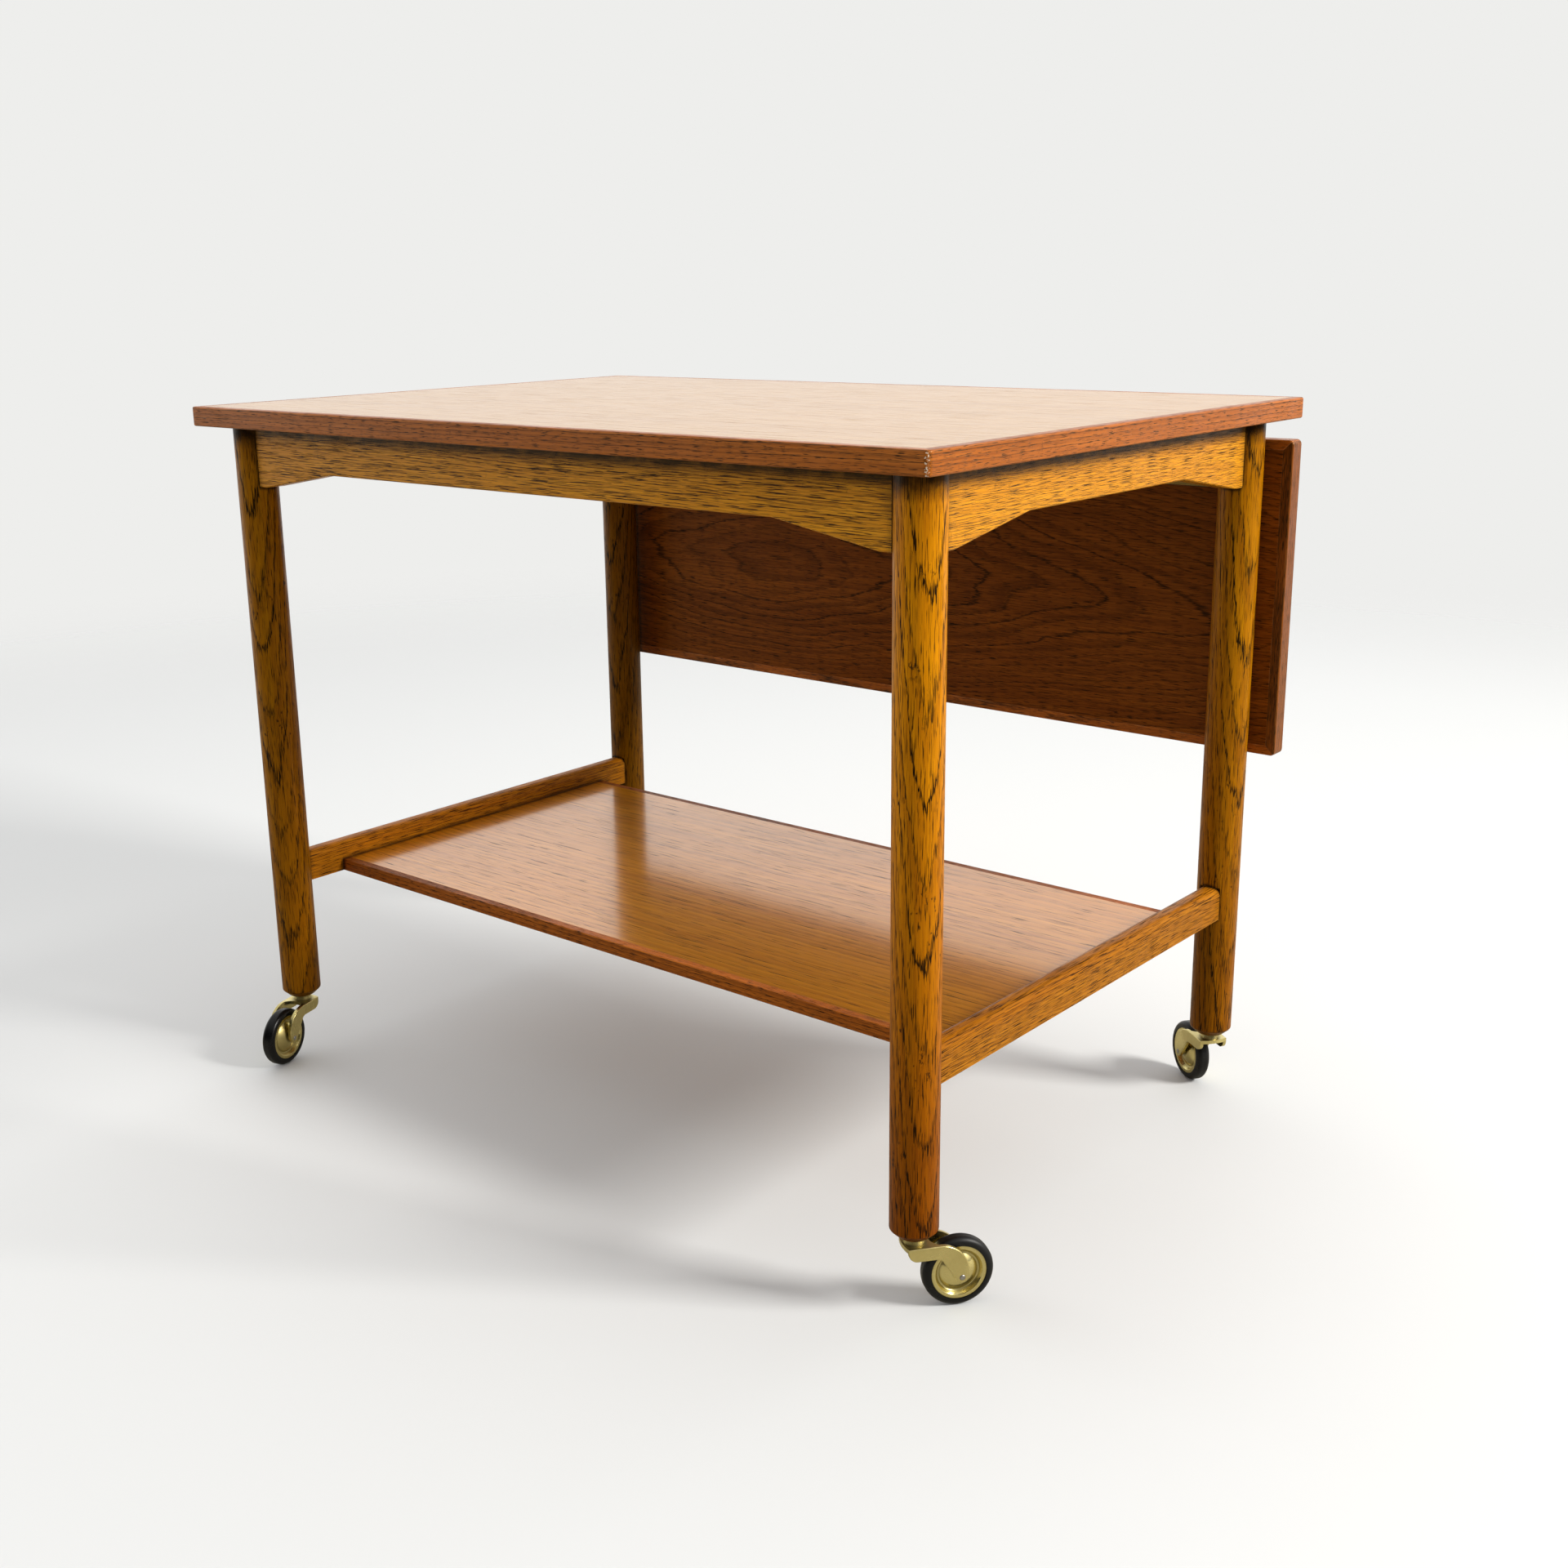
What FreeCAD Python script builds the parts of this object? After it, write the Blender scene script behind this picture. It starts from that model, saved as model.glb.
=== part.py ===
import FreeCAD, Part
import Sketcher
import math
import os
from types import SimpleNamespace

Vector = FreeCAD.Vector
Rotation = FreeCAD.Rotation

# Driving sizes: lengths in millimetres and angles in degrees.
# X runs along the cart, the drop leaf hangs at +Y, Z is up and the wheels stand on z = 0.
SIZES = {
    # Table top
    "top_length": 750.0,
    "top_depth": 510.0,
    "top_thickness": 16.0,
    "cart_height": 586.0,
    # Mitred lippings of the top and the leaf
    "lipping_width": 8.0,
    "corner_radius": 4.0,
    "arris_radius": 1.6,
    # Drop leaf, as thick as the top so that it lies level with it
    "leaf_depth": 255.0,
    "leaf_edge_gap": 0.4,
    # Leaf hinges
    "hinge_from_end": 85.0,
    "hinge_length": 60.0,
    "flap_thickness": 1.6,
    "short_flap_reach": 12.4,
    "flap_on_leaf": 40.0,
    "barrel_radius": 3.2,
    "barrel_room": 0.5,
    "hinge_pin_radius": 1.6,
    "hinge_pin_fit": 0.05,
    "knuckle_gap": 0.3,
    "flap_screw_spread": 21.0,
    "short_flap_screw": 8.0,
    "long_flap_screw": 11.0,
    "long_flap_screw_pitch": 18.0,
    # Hinge screws
    "hinge_screw_length": 12.0,
    "hinge_screw_radius": 1.4,
    "hinge_screw_head": 2.7,
    "hinge_screw_tip": 2.0,
    # Legs
    "leg_radius": 17.0,
    "leg_inset_end": 32.0,
    "leg_inset_side": 38.0,
    "leg_foot_height": 56.0,
    "leg_foot_radius": 11.0,
    "leg_bevel_height": 5.5,
    "leg_foot_round": 2.0,
    # Aprons with a shallow arch below
    "apron_thickness": 18.0,
    "apron_depth": 36.0,
    "apron_end_depth": 51.0,
    "arch_foot": 10.5,
    "arch_run": 86.0,
    "arch_round": 14.0,
    "apron_arris": 0.8,
    # End stretchers
    "stretcher_thickness": 18.0,
    "stretcher_height": 27.0,
    "stretcher_foot": 163.0,
    "stretcher_round": 7.0,
    # Shelf
    "shelf_thickness": 11.0,
    "shelf_depth": 335.0,
    "shelf_arris": 1.2,
    # Dowels
    "dowel_radius": 4.0,
    "dowel_in_leg": 18.0,
    "dowel_in_rail": 24.0,
    "dowel_fit": 0.1,
    "dowel_end_room": 1.0,
    "long_dowel_upper": 9.0,
    "long_dowel_lower": 33.0,
    "short_dowel_upper": 21.0,
    "short_dowel_lower": 43.0,
    "stretcher_dowel_low": 6.5,
    "stretcher_dowel_high": 20.5,
    "shelf_dowel_radius": 3.0,
    "shelf_dowel_in_stretcher": 10.0,
    "shelf_dowel_in_shelf": 14.0,
    "shelf_dowel_pitch": 110.0,
    # Glue blocks in the corner of the top and the aprons
    "block_length": 40.0,
    "block_width": 20.0,
    "block_height": 20.0,
    "front_block_from_middle": 120.0,
    "back_block_from_middle": 60.0,
    # Screws up into the top
    "wood_screw_length": 30.0,
    "wood_screw_radius": 1.8,
    "wood_screw_head": 3.5,
    "wood_screw_head_height": 2.4,
    "wood_screw_tip": 3.0,
    "screw_fit": 0.1,
    # Pull-out leaf supports and their guides
    "loper_from_middle": 180.0,
    "loper_width": 36.0,
    "loper_height": 15.0,
    "loper_front_room": 58.0,
    "loper_nose": 10.0,
    "loper_fit": 0.3,
    "loper_travel": 200.0,
    "loper_arris": 1.0,
    "grip_radius": 3.0,
    "grip_inset": 5.0,
    "guide_length": 268.0,
    "guide_floor": 6.0,
    "guide_cheek": 8.0,
    "guide_screw_inset": 30.0,
    "slot_inset": 12.0,
    "peg_radius": 3.0,
    "peg_in_loper": 9.0,
    "peg_recess": 0.6,
    # Caster sockets in the legs
    "stem_radius": 4.5,
    "stem_length": 34.5,
    "stem_chamfer": 1.0,
    "stem_fit": 0.1,
    "socket_wall": 1.4,
    "socket_length": 38.0,
    "socket_flange": 0.8,
    "socket_flange_radius": 8.5,
    # Caster forks
    "caster_trail": 31.0,
    "fork_half_width": 12.3,
    "fork_plate": 3.0,
    "fork_top": 51.0,
    "fork_nose": 7.0,
    "fork_nose_bulge": 2.0,
    "plate_rear": 15.0,
    "plate_arch": 5.0,
    "cheek_depth": 9.9,
    "cheek_front_round": 6.6,
    "cheek_throat": 13.0,
    "cheek_throat_round": 5.0,
    "cheek_end_radius": 4.2,
    "cheek_arris": 0.8,
    "collar_foot_radius": 7.5,
    "collar_top_radius": 6.5,
    "swivel_gap": 0.3,
    # Caster axles and wheels
    "axle_radius": 2.0,
    "axle_fit": 0.05,
    "axle_stand": 0.4,
    "axle_chamfer": 0.4,
    "wheel_radius": 25.4,
    "tyre_half_width": 5.75,
    "tyre_shoulder": 4.0,
    "tyre_seat_radius": 17.4,
    "tyre_fit": 0.05,
    "hub_radius": 19.9,
    "hub_half_width": 5.3,
    "hub_flange": 1.2,
    "hub_rim_width": 2.8,
    "hub_rim_round": 0.4,
    "hub_well_slope": 2.5,
    "hub_well_round": 1.2,
    "hub_web": 1.6,
    "hub_crown": 7.0,
    "hub_crown_radius": 26.0,
    "hub_boss_radius": 3.2,
    # Which way each caster trails, counted from +X
    "front_right_trail_angle": 53.0,
    "front_left_trail_angle": 287.0,
    "back_right_trail_angle": 145.0,
    "back_left_trail_angle": 126.0,
    # How far a cutting shape runs past what it cuts
    "overrun": 1.0,
}
KNUCKLES = 5
ROW_SHARES = (-1, 0, 1)
PAIR_SHARES = (-1, 1)
DIAGONAL_SHARE = math.sqrt(1 / 2)
QUARTER_TURN = 90
HALF_TURN = 180
FULL_TURN = 360
LEFT = "left"
RIGHT = "right"
SAME_PLACE = 1e-4

doc = FreeCAD.newDocument("folding_tea_cart")
sheet = doc.addObject("Spreadsheet::Sheet", "sizes")
for row, (alias, given) in enumerate(SIZES.items(), start=1):
    sheet.set(f"A{row}", alias)
    sheet.set(f"B{row}", str(given))
    sheet.setAlias(f"B{row}", alias)
doc.recompute()


class Size:
    """A length or an angle, with the formula on the sheet's cells that gives it."""

    def __init__(self, value, formula):
        self.value = value
        self.formula = formula

    def __add__(self, other):
        return Size(self.value + number(other), f"({self.formula} + {formula(other)})")

    def __radd__(self, other):
        return Size(number(other) + self.value, f"({formula(other)} + {self.formula})")

    def __sub__(self, other):
        return Size(self.value - number(other), f"({self.formula} - {formula(other)})")

    def __rsub__(self, other):
        return Size(number(other) - self.value, f"({formula(other)} - {self.formula})")

    def __mul__(self, other):
        return Size(self.value * number(other), f"({self.formula} * {formula(other)})")

    def __rmul__(self, other):
        return Size(number(other) * self.value, f"({formula(other)} * {self.formula})")

    def __truediv__(self, other):
        return Size(self.value / number(other), f"({self.formula} / {formula(other)})")

    def __neg__(self):
        return Size(-self.value, f"(0 - {self.formula})")


def number(size):
    return size.value if isinstance(size, Size) else float(size)


def formula(size):
    return size.formula if isinstance(size, Size) else repr(float(size))


def root(size):
    return Size(math.sqrt(size.value), f"sqrt({size.formula})")


s = SimpleNamespace(**{alias: Size(float(sheet.get(alias)), f"sizes.{alias}") for alias in SIZES})


# Binding and placing

def bind(item, prop, size):
    if isinstance(size, Size):
        item.setExpression(prop, size.formula)


def place(item, x=0, y=0, z=0, turned=None):
    corner = Vector(number(x), number(y), number(z))
    item.Placement = FreeCAD.Placement(corner, turned or Rotation())
    bind(item, "Placement.Base.x", x)
    bind(item, "Placement.Base.y", y)
    bind(item, "Placement.Base.z", z)
    return item


def about_z(angle):
    return Rotation(Vector(0, 0, 1), number(angle))


ALONG = {
    "X": Rotation(Vector(0, 1, 0), QUARTER_TURN),
    "Y": Rotation(Vector(1, 0, 0), -QUARTER_TURN),
    "Z": Rotation(),
}


# Simple solids and booleans

def ordered(a, b):
    return sorted((a, b), key=number)


def box(name, x_ends, y_ends, z_ends):
    item = doc.addObject("Part::Box", name)
    lows = []
    for prop, ends in (("Length", x_ends), ("Width", y_ends), ("Height", z_ends)):
        low, high = ordered(*ends)
        setattr(item, prop, number(high - low))
        bind(item, prop, high - low)
        lows.append(low)
    return place(item, *lows)


def rod(name, radius, length, x, y, z, along="Z"):
    item = doc.addObject("Part::Cylinder", name)
    item.Radius = number(radius)
    item.Height = number(length)
    bind(item, "Radius", radius)
    bind(item, "Height", length)
    return place(item, x, y, z, ALONG[along])


def countersink(name, mouth_radius, bottom_radius, depth, x, y, z):
    item = doc.addObject("Part::Cone", name)
    item.Radius1 = number(mouth_radius)
    item.Radius2 = number(bottom_radius)
    item.Height = number(depth)
    bind(item, "Radius1", mouth_radius)
    bind(item, "Radius2", bottom_radius)
    bind(item, "Height", depth)
    return place(item, x, y, z)


def fused(name, items):
    item = doc.addObject("Part::MultiFuse", name)
    item.Shapes = items
    return item


def cut(name, blank, tools):
    item = doc.addObject("Part::Cut", name)
    item.Base = blank
    item.Tool = tools[0] if len(tools) == 1 else fused(f"{name}_cuts", tools)
    return item


def copy_at(name, item, x, y, z, turned=None):
    link = doc.addObject("App::Link", name)
    link.LinkedObject = item
    return place(link, x, y, z, turned)


# Bodies drawn as outlines

class Corner:
    """A corner of an outline, and the run that leaves it: straight, or an arc of a radius.

    A corner that isn't held finds its place from the smooth joins beside it, and starts
    from a guess. A radius that is a plain number, not a Size, is such a guess too.
    """

    def __init__(self, x, y, radius=None, turn=LEFT, held=True, smooth=False, centre=None):
        self.x = x
        self.y = y
        self.radius = radius
        self.turn = turn
        self.held = held
        self.smooth = smooth
        self.centre = centre


def new_body(name):
    return doc.addObject("PartDesign::Body", name)


def new_sketch(owner, plane, name, x=0, y=0, z=0):
    sketch = owner.newObject("Sketcher::SketchObject", name)
    support = next(f for f in owner.Origin.OriginFeatures if f.Role == plane)
    sketch.AttachmentSupport = (support, [""])
    sketch.MapMode = "FlatFace"
    sketch.AttachmentOffset = FreeCAD.Placement(Vector(number(x), number(y), number(z)), Rotation())
    bind(sketch, "AttachmentOffset.Base.x", x)
    bind(sketch, "AttachmentOffset.Base.y", y)
    bind(sketch, "AttachmentOffset.Base.z", z)
    return sketch


def hold(sketch, kind, edge, end, size):
    if kind == "Radius":
        index = sketch.addConstraint(Sketcher.Constraint("Radius", edge, number(size)))
    else:
        index = sketch.addConstraint(Sketcher.Constraint(kind, -1, 1, edge, end, number(size)))
    if isinstance(size, Size):
        sketch.setExpression(f"Constraints[{index}]", size.formula)


def arc_through(start, end, corner):
    chord = end - start
    reach = math.sqrt(max(number(corner.radius) ** 2 - (chord.Length / 2) ** 2, 0))
    side = 1 if corner.turn == LEFT else -1
    across = Vector(-chord.y, chord.x, 0).normalize()
    centre = (start + end) * (1 / 2) + across * (side * reach)
    first, last = (start, end) if corner.turn == LEFT else (end, start)
    first_angle = math.atan2(first.y - centre.y, first.x - centre.x)
    last_angle = math.atan2(last.y - centre.y, last.x - centre.x)
    if last_angle <= first_angle:
        last_angle += 2 * math.pi
    circle = Part.Circle(centre, Vector(0, 0, 1), number(corner.radius))
    return Part.ArcOfCircle(circle, first_angle, last_angle)


def draw(sketch, corners):
    points = [Vector(number(c.x), number(c.y), 0) for c in corners]
    runs = []
    for index, corner in enumerate(corners):
        start = points[index]
        end = points[(index + 1) % len(corners)]
        if corner.radius is None:
            runs.append((sketch.addGeometry(Part.LineSegment(start, end), False), 1, 2))
            continue
        edge = sketch.addGeometry(arc_through(start, end, corner), False)
        runs.append((edge, 1, 2) if corner.turn == LEFT else (edge, 2, 1))
    for index, corner in enumerate(corners):
        edge, start, _ = runs[index]
        before, _, end = runs[index - 1]
        join = "Tangent" if corner.smooth else "Coincident"
        sketch.addConstraint(Sketcher.Constraint(join, before, end, edge, start))
        if corner.held:
            hold(sketch, "DistanceX", edge, start, corner.x)
            hold(sketch, "DistanceY", edge, start, corner.y)
        if corner.centre:
            hold(sketch, "DistanceX", edge, 3, corner.centre[0])
            hold(sketch, "DistanceY", edge, 3, corner.centre[1])
        if isinstance(corner.radius, Size):
            hold(sketch, "Radius", edge, 0, corner.radius)
    return sketch


def draw_circle(sketch, x, y, radius):
    centre = Vector(number(x), number(y), 0)
    edge = sketch.addGeometry(Part.Circle(centre, Vector(0, 0, 1), number(radius)), False)
    hold(sketch, "DistanceX", edge, 3, x)
    hold(sketch, "DistanceY", edge, 3, y)
    hold(sketch, "Radius", edge, 0, radius)
    return sketch


def rectangle(x_ends, y_ends):
    return [
        Corner(x_ends[0], y_ends[0]),
        Corner(x_ends[1], y_ends[0]),
        Corner(x_ends[1], y_ends[1]),
        Corner(x_ends[0], y_ends[1]),
    ]


def pad(owner, sketch, length, both_ways=False):
    item = owner.newObject("PartDesign::Pad", "Pad")
    item.Profile = sketch
    item.SideType = "Symmetric" if both_ways else "One side"
    item.Length = number(length)
    bind(item, "Length", length)
    doc.recompute()
    return item


def pocket(owner, sketch, length, both_ways=False):
    before = owner.Shape.Volume
    item = owner.newObject("PartDesign::Pocket", "Pocket")
    item.Profile = sketch
    item.SideType = "Symmetric" if both_ways else "One side"
    item.Length = number(length)
    bind(item, "Length", length)
    doc.recompute()
    if not owner.Shape.Volume < before:
        raise RuntimeError(f"the pocket {item.Name} of {owner.Label} takes nothing away")
    return item


def revolve(owner, sketch):
    item = owner.newObject("PartDesign::Revolution", "Revolution")
    item.Profile = sketch
    item.ReferenceAxis = (sketch, ["V_Axis"])
    item.Angle = FULL_TURN
    doc.recompute()
    return item


def near(value, size):
    return abs(value - number(size)) < SAME_PLACE


def lies_at(edge, x=None, y=None, z=None):
    extent = edge.BoundBox
    tests = []
    if x is not None:
        tests.append(near(extent.XMin, x) and near(extent.XMax, x))
    if y is not None:
        tests.append(near(extent.YMin, y) and near(extent.YMax, y))
    if z is not None:
        tests.append(near(extent.ZMin, z) and near(extent.ZMax, z))
    return all(tests)


def soften(owner, radius, wanted, kind="Fillet"):
    last = owner.Tip
    names = [f"Edge{index}" for index, edge in enumerate(last.Shape.Edges, start=1) if wanted(edge)]
    item = owner.newObject(f"PartDesign::{kind}", kind)
    item.Base = (last, names)
    prop = "Radius" if kind == "Fillet" else "Size"
    setattr(item, prop, number(radius))
    bind(item, prop, radius)
    doc.recompute()
    return item


def bar(name, length, width, height):
    body = new_body(name)
    sketch = new_sketch(body, "XY_Plane", f"{name}_outline")
    draw(sketch, rectangle((-length / 2, length / 2), (-width / 2, width / 2)))
    pad(body, sketch, height)
    return body


# Every sub-part by the name of its file
pieces = {}


def keep(name, item):
    item.Label = name
    pieces[name] = item
    return item


def keep_group(name, items):
    group = doc.addObject("Part::Compound", f"{name}_group")
    group.Links = items
    return keep(name, group)


# Levels and lines that the pieces share
top_under = s.cart_height - s.top_thickness
back_edge = s.top_depth / 2
hinge_line = back_edge - s.top_thickness
leaf_drop = s.top_thickness + s.leaf_edge_gap
leaf_top = top_under - leaf_drop
leaf_middle = leaf_top - s.leaf_depth / 2
hinge_x = s.top_length / 2 - s.hinge_from_end
leg_x = s.top_length / 2 - s.leg_inset_end
leg_y = s.top_depth / 2 - s.leg_inset_side
apron_seat = root(s.leg_radius * s.leg_radius - s.apron_thickness * s.apron_thickness / 4)
stretcher_seat = root(s.leg_radius * s.leg_radius - s.stretcher_thickness * s.stretcher_thickness / 4)
apron_half = s.apron_thickness / 2
long_half = leg_x - apron_seat
short_half = leg_y - apron_seat
stretcher_half = leg_y - stretcher_seat
shelf_half = leg_x - s.stretcher_thickness / 2
apron_inner_y = leg_y - apron_half
apron_inner_x = leg_x - apron_half
loper_top = top_under - s.loper_fit
loper_foot = loper_top - s.loper_height
guide_top_of_floor = loper_foot - s.loper_fit
guide_foot = guide_top_of_floor - s.guide_floor
guide_half = s.loper_width / 2 + s.loper_fit
guide_start = apron_inner_y - s.guide_length
loper_end = leg_y + apron_half + s.loper_nose
loper_length = loper_end + apron_inner_y - s.loper_front_room
peg_y = guide_start + s.slot_inset + s.peg_radius + s.loper_fit
slot_end = peg_y + s.loper_travel + s.peg_radius + s.loper_fit
dowel_hole = s.dowel_radius + s.dowel_fit
shelf_dowel_hole = s.shelf_dowel_radius + s.dowel_fit
shelf_dowel_z = s.stretcher_foot + s.shelf_thickness / 2
SIDES = (("left", -1), ("right", 1))
ENDS = (("front", -1), ("back", 1))


# Screws: one of each kind, copied to where it is driven

def turned_screw(name, head, shank, head_height, length, tip):
    body = new_body(name)
    sketch = new_sketch(body, "XZ_Plane", f"{name}_outline")
    draw(sketch, [
        Corner(0, 0),
        Corner(head, 0),
        Corner(shank, head_height),
        Corner(shank, length - tip),
        Corner(0, length),
    ])
    revolve(body, sketch)
    return body


hinge_screw = turned_screw("hinge_screw", s.hinge_screw_head, s.hinge_screw_radius, s.flap_thickness,
                           s.hinge_screw_length, s.hinge_screw_tip)
top_screw = turned_screw("top_screw", s.wood_screw_head, s.wood_screw_radius, s.wood_screw_head_height,
                         s.wood_screw_length, s.wood_screw_tip)


def drive(name, screw, places, turned=None):
    return [copy_at(f"{name}_{index}", screw, *spot, turned) for index, spot in enumerate(places)]


def pilot_holes(name, places, radius, length, along="Z"):
    holes = []
    for index, spot in enumerate(places):
        holes.append(rod(f"{name}_{index}", radius + s.screw_fit, length + s.screw_fit, *spot, along))
    return holes


# Leaf hinges: each flap lies flat with its knuckles on the X axis, and is then placed

def flap(name, reach, screw_places, other_knuckles):
    half = s.hinge_length / 2
    plate = box(f"{name}_plate", (-half, half), (-reach, 0), (0, s.flap_thickness))
    barrel = rod(f"{name}_barrel", s.barrel_radius, s.hinge_length, -half, 0, 0, "X")
    cuts = [rod(f"{name}_bore", s.hinge_pin_radius + s.hinge_pin_fit, s.hinge_length + 2 * s.overrun,
                -half - s.overrun, 0, 0, "X")]
    knuckle = s.hinge_length / KNUCKLES
    room = s.barrel_radius + s.knuckle_gap
    for index in other_knuckles:
        low = knuckle * index - half
        low_side = low - (s.overrun if index == 0 else s.knuckle_gap / 2)
        high_side = low + knuckle + (s.overrun if index == KNUCKLES - 1 else s.knuckle_gap / 2)
        cuts.append(box(f"{name}_gap_{index}", (low_side, high_side), (-room, room), (-room, room)))
    hole = s.hinge_screw_radius + s.screw_fit
    for index, (x, y) in enumerate(screw_places):
        cuts.append(rod(f"{name}_hole_{index}", hole, s.flap_thickness + 2 * s.overrun, x, y, -s.overrun))
        cuts.append(countersink(f"{name}_sink_{index}", s.hinge_screw_head + s.screw_fit, hole,
                                s.flap_thickness, x, y, 0))
    return cut(name, fused(f"{name}_blank", [plate, barrel]), cuts)


HANGING = Rotation(Vector(0, 1, 1), HALF_TURN)
top_flap_screws = [(s.flap_screw_spread * share, -s.short_flap_screw) for share in ROW_SHARES]
first_row = leaf_drop + s.long_flap_screw
leaf_flap_screws = [(s.flap_screw_spread * share, -first_row) for share in PAIR_SHARES]
leaf_flap_screws.append((0, -first_row - s.long_flap_screw_pitch))
top_screw_places = []
leaf_screw_places = []
for side, sign in SIDES:
    x = sign * hinge_x
    top_flap = flap(f"{side}_hinge_top_plate", s.short_flap_reach, top_flap_screws, range(1, KNUCKLES, 2))
    keep(f"{side}_hinge_top_flap", place(top_flap, x, hinge_line, top_under))
    leaf_flap = flap(f"{side}_hinge_leaf_plate", leaf_drop + s.flap_on_leaf, leaf_flap_screws,
                     range(0, KNUCKLES, 2))
    keep(f"{side}_hinge_leaf_flap", place(leaf_flap, x, hinge_line, top_under, HANGING))
    keep(f"{side}_hinge_pin", rod(f"{side}_hinge_pin_rod", s.hinge_pin_radius, s.hinge_length,
                                  x - s.hinge_length / 2, hinge_line, top_under, "X"))
    top_screw_places += [(x + along, hinge_line + back, top_under) for along, back in top_flap_screws]
    leaf_screw_places += [(x - along, hinge_line, top_under + down) for along, down in leaf_flap_screws]
keep_group("hinge_top_screws", drive("hinge_top_screw", hinge_screw, top_screw_places))
keep_group("hinge_leaf_screws", drive("hinge_leaf_screw", hinge_screw, leaf_screw_places, HANGING))


# Recesses that let the hinges into the top and into the leaf

def hinge_recesses(name, where):
    half = s.hinge_length / 2 + s.knuckle_gap
    groove = s.barrel_radius + s.barrel_room
    over = top_under + s.flap_thickness
    low = top_under - s.overrun
    cuts = []
    for side, sign in SIDES:
        x_ends = (sign * hinge_x - half, sign * hinge_x + half)
        if where == "leaf":
            foot = leaf_top - s.flap_on_leaf - s.knuckle_gap
            cuts.append(box(f"{name}_{side}_bed", x_ends,
                            (hinge_line - s.overrun, hinge_line + s.flap_thickness),
                            (foot, leaf_top + s.overrun)))
            continue
        cuts.append(box(f"{name}_{side}_room", x_ends, (hinge_line, back_edge + s.overrun),
                        (low, over + s.barrel_room)))
        if where == "panel":
            cuts.append(box(f"{name}_{side}_groove", x_ends, (hinge_line - groove, hinge_line + groove),
                            (low, top_under + groove)))
            cuts.append(box(f"{name}_{side}_bed", x_ends,
                            (hinge_line - s.short_flap_reach - s.knuckle_gap, hinge_line), (low, over)))
    return cuts


# Mitred lippings: each is drawn as the front one of its frame, then turned to its side

def mitred_lipping(name, run, reach):
    half = run / 2
    corner = s.corner_radius
    lip = s.lipping_width
    diagonal = corner * (1 - DIAGONAL_SHARE)
    body = new_body(name)
    sketch = new_sketch(body, "XY_Plane", f"{name}_outline")
    draw(sketch, [
        Corner(corner - half, -reach),
        Corner(half - corner, -reach, radius=corner, turn=LEFT),
        Corner(half - diagonal, diagonal - reach),
        Corner(half - lip, lip - reach),
        Corner(lip - half, lip - reach),
        Corner(diagonal - half, diagonal - reach, radius=corner, turn=LEFT),
    ])
    pad(body, sketch, s.top_thickness)
    outer = number(s.corner_radius) - number(reach)

    def is_outer_arris(edge):
        on_face = lies_at(edge, z=0) or lies_at(edge, z=s.top_thickness)
        return on_face and edge.BoundBox.YMax < outer - SAME_PLACE

    soften(body, s.arris_radius, is_outer_arris)
    return body


def mitred_frame(names, length, depth, x, y, z, laid):
    runs = (length, depth, length, depth)
    reaches = (depth / 2, length / 2, depth / 2, length / 2)
    frame = []
    for index, name in enumerate(names):
        strip = mitred_lipping(f"{name}_strip", runs[index], reaches[index])
        place(strip, x, y, z, laid.multiply(about_z(QUARTER_TURN * index)))
        frame.append(strip)
    return frame


# Table top
top_names = ("top_front_lipping", "top_right_lipping", "top_back_lipping", "top_left_lipping")
top_frame = mitred_frame(top_names, s.top_length, s.top_depth, 0, 0, top_under, Rotation())
for name, strip in zip(top_names, top_frame):
    if name == "top_back_lipping":
        strip = cut(name, strip, hinge_recesses("top_lipping", "lipping"))
    keep(name, strip)

block_foot = top_under - s.block_height
block_places = []
for side, sign in SIDES:
    block_y = apron_inner_y - s.block_width / 2
    block_places.append((f"front_{side}", sign * s.front_block_from_middle, -block_y))
    block_places.append((f"back_{side}", sign * s.back_block_from_middle, block_y))
    block_places.append((f"end_{side}", sign * (apron_inner_x - s.block_width / 2), 0))
wood_screw_places = [(x, y, block_foot) for _, x, y in block_places]
cheek_middle = guide_half + s.guide_cheek / 2
guide_screw_y = (guide_start + s.guide_screw_inset, apron_inner_y - s.guide_screw_inset)
guide_screws = {}
for side, sign in SIDES:
    guide_screws[side] = [(sign * s.loper_from_middle + share * cheek_middle, y, guide_foot)
                          for share in PAIR_SHARES for y in guide_screw_y]
    wood_screw_places += guide_screws[side]
keep_group("top_screws", drive("top_screw", top_screw, wood_screw_places))

panel_half_x = s.top_length / 2 - s.lipping_width
panel_half_y = s.top_depth / 2 - s.lipping_width
top_blank = box("top_panel_board", (-panel_half_x, panel_half_x), (-panel_half_y, panel_half_y),
                (top_under, s.cart_height))
top_cuts = hinge_recesses("top_panel", "panel")
top_cuts += pilot_holes("top_hinge_pilot", top_screw_places, s.hinge_screw_radius, s.hinge_screw_length)
top_cuts += pilot_holes("top_pilot", wood_screw_places, s.wood_screw_radius, s.wood_screw_length)
keep("top_panel", cut("top_panel_cut", top_blank, top_cuts))


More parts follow.
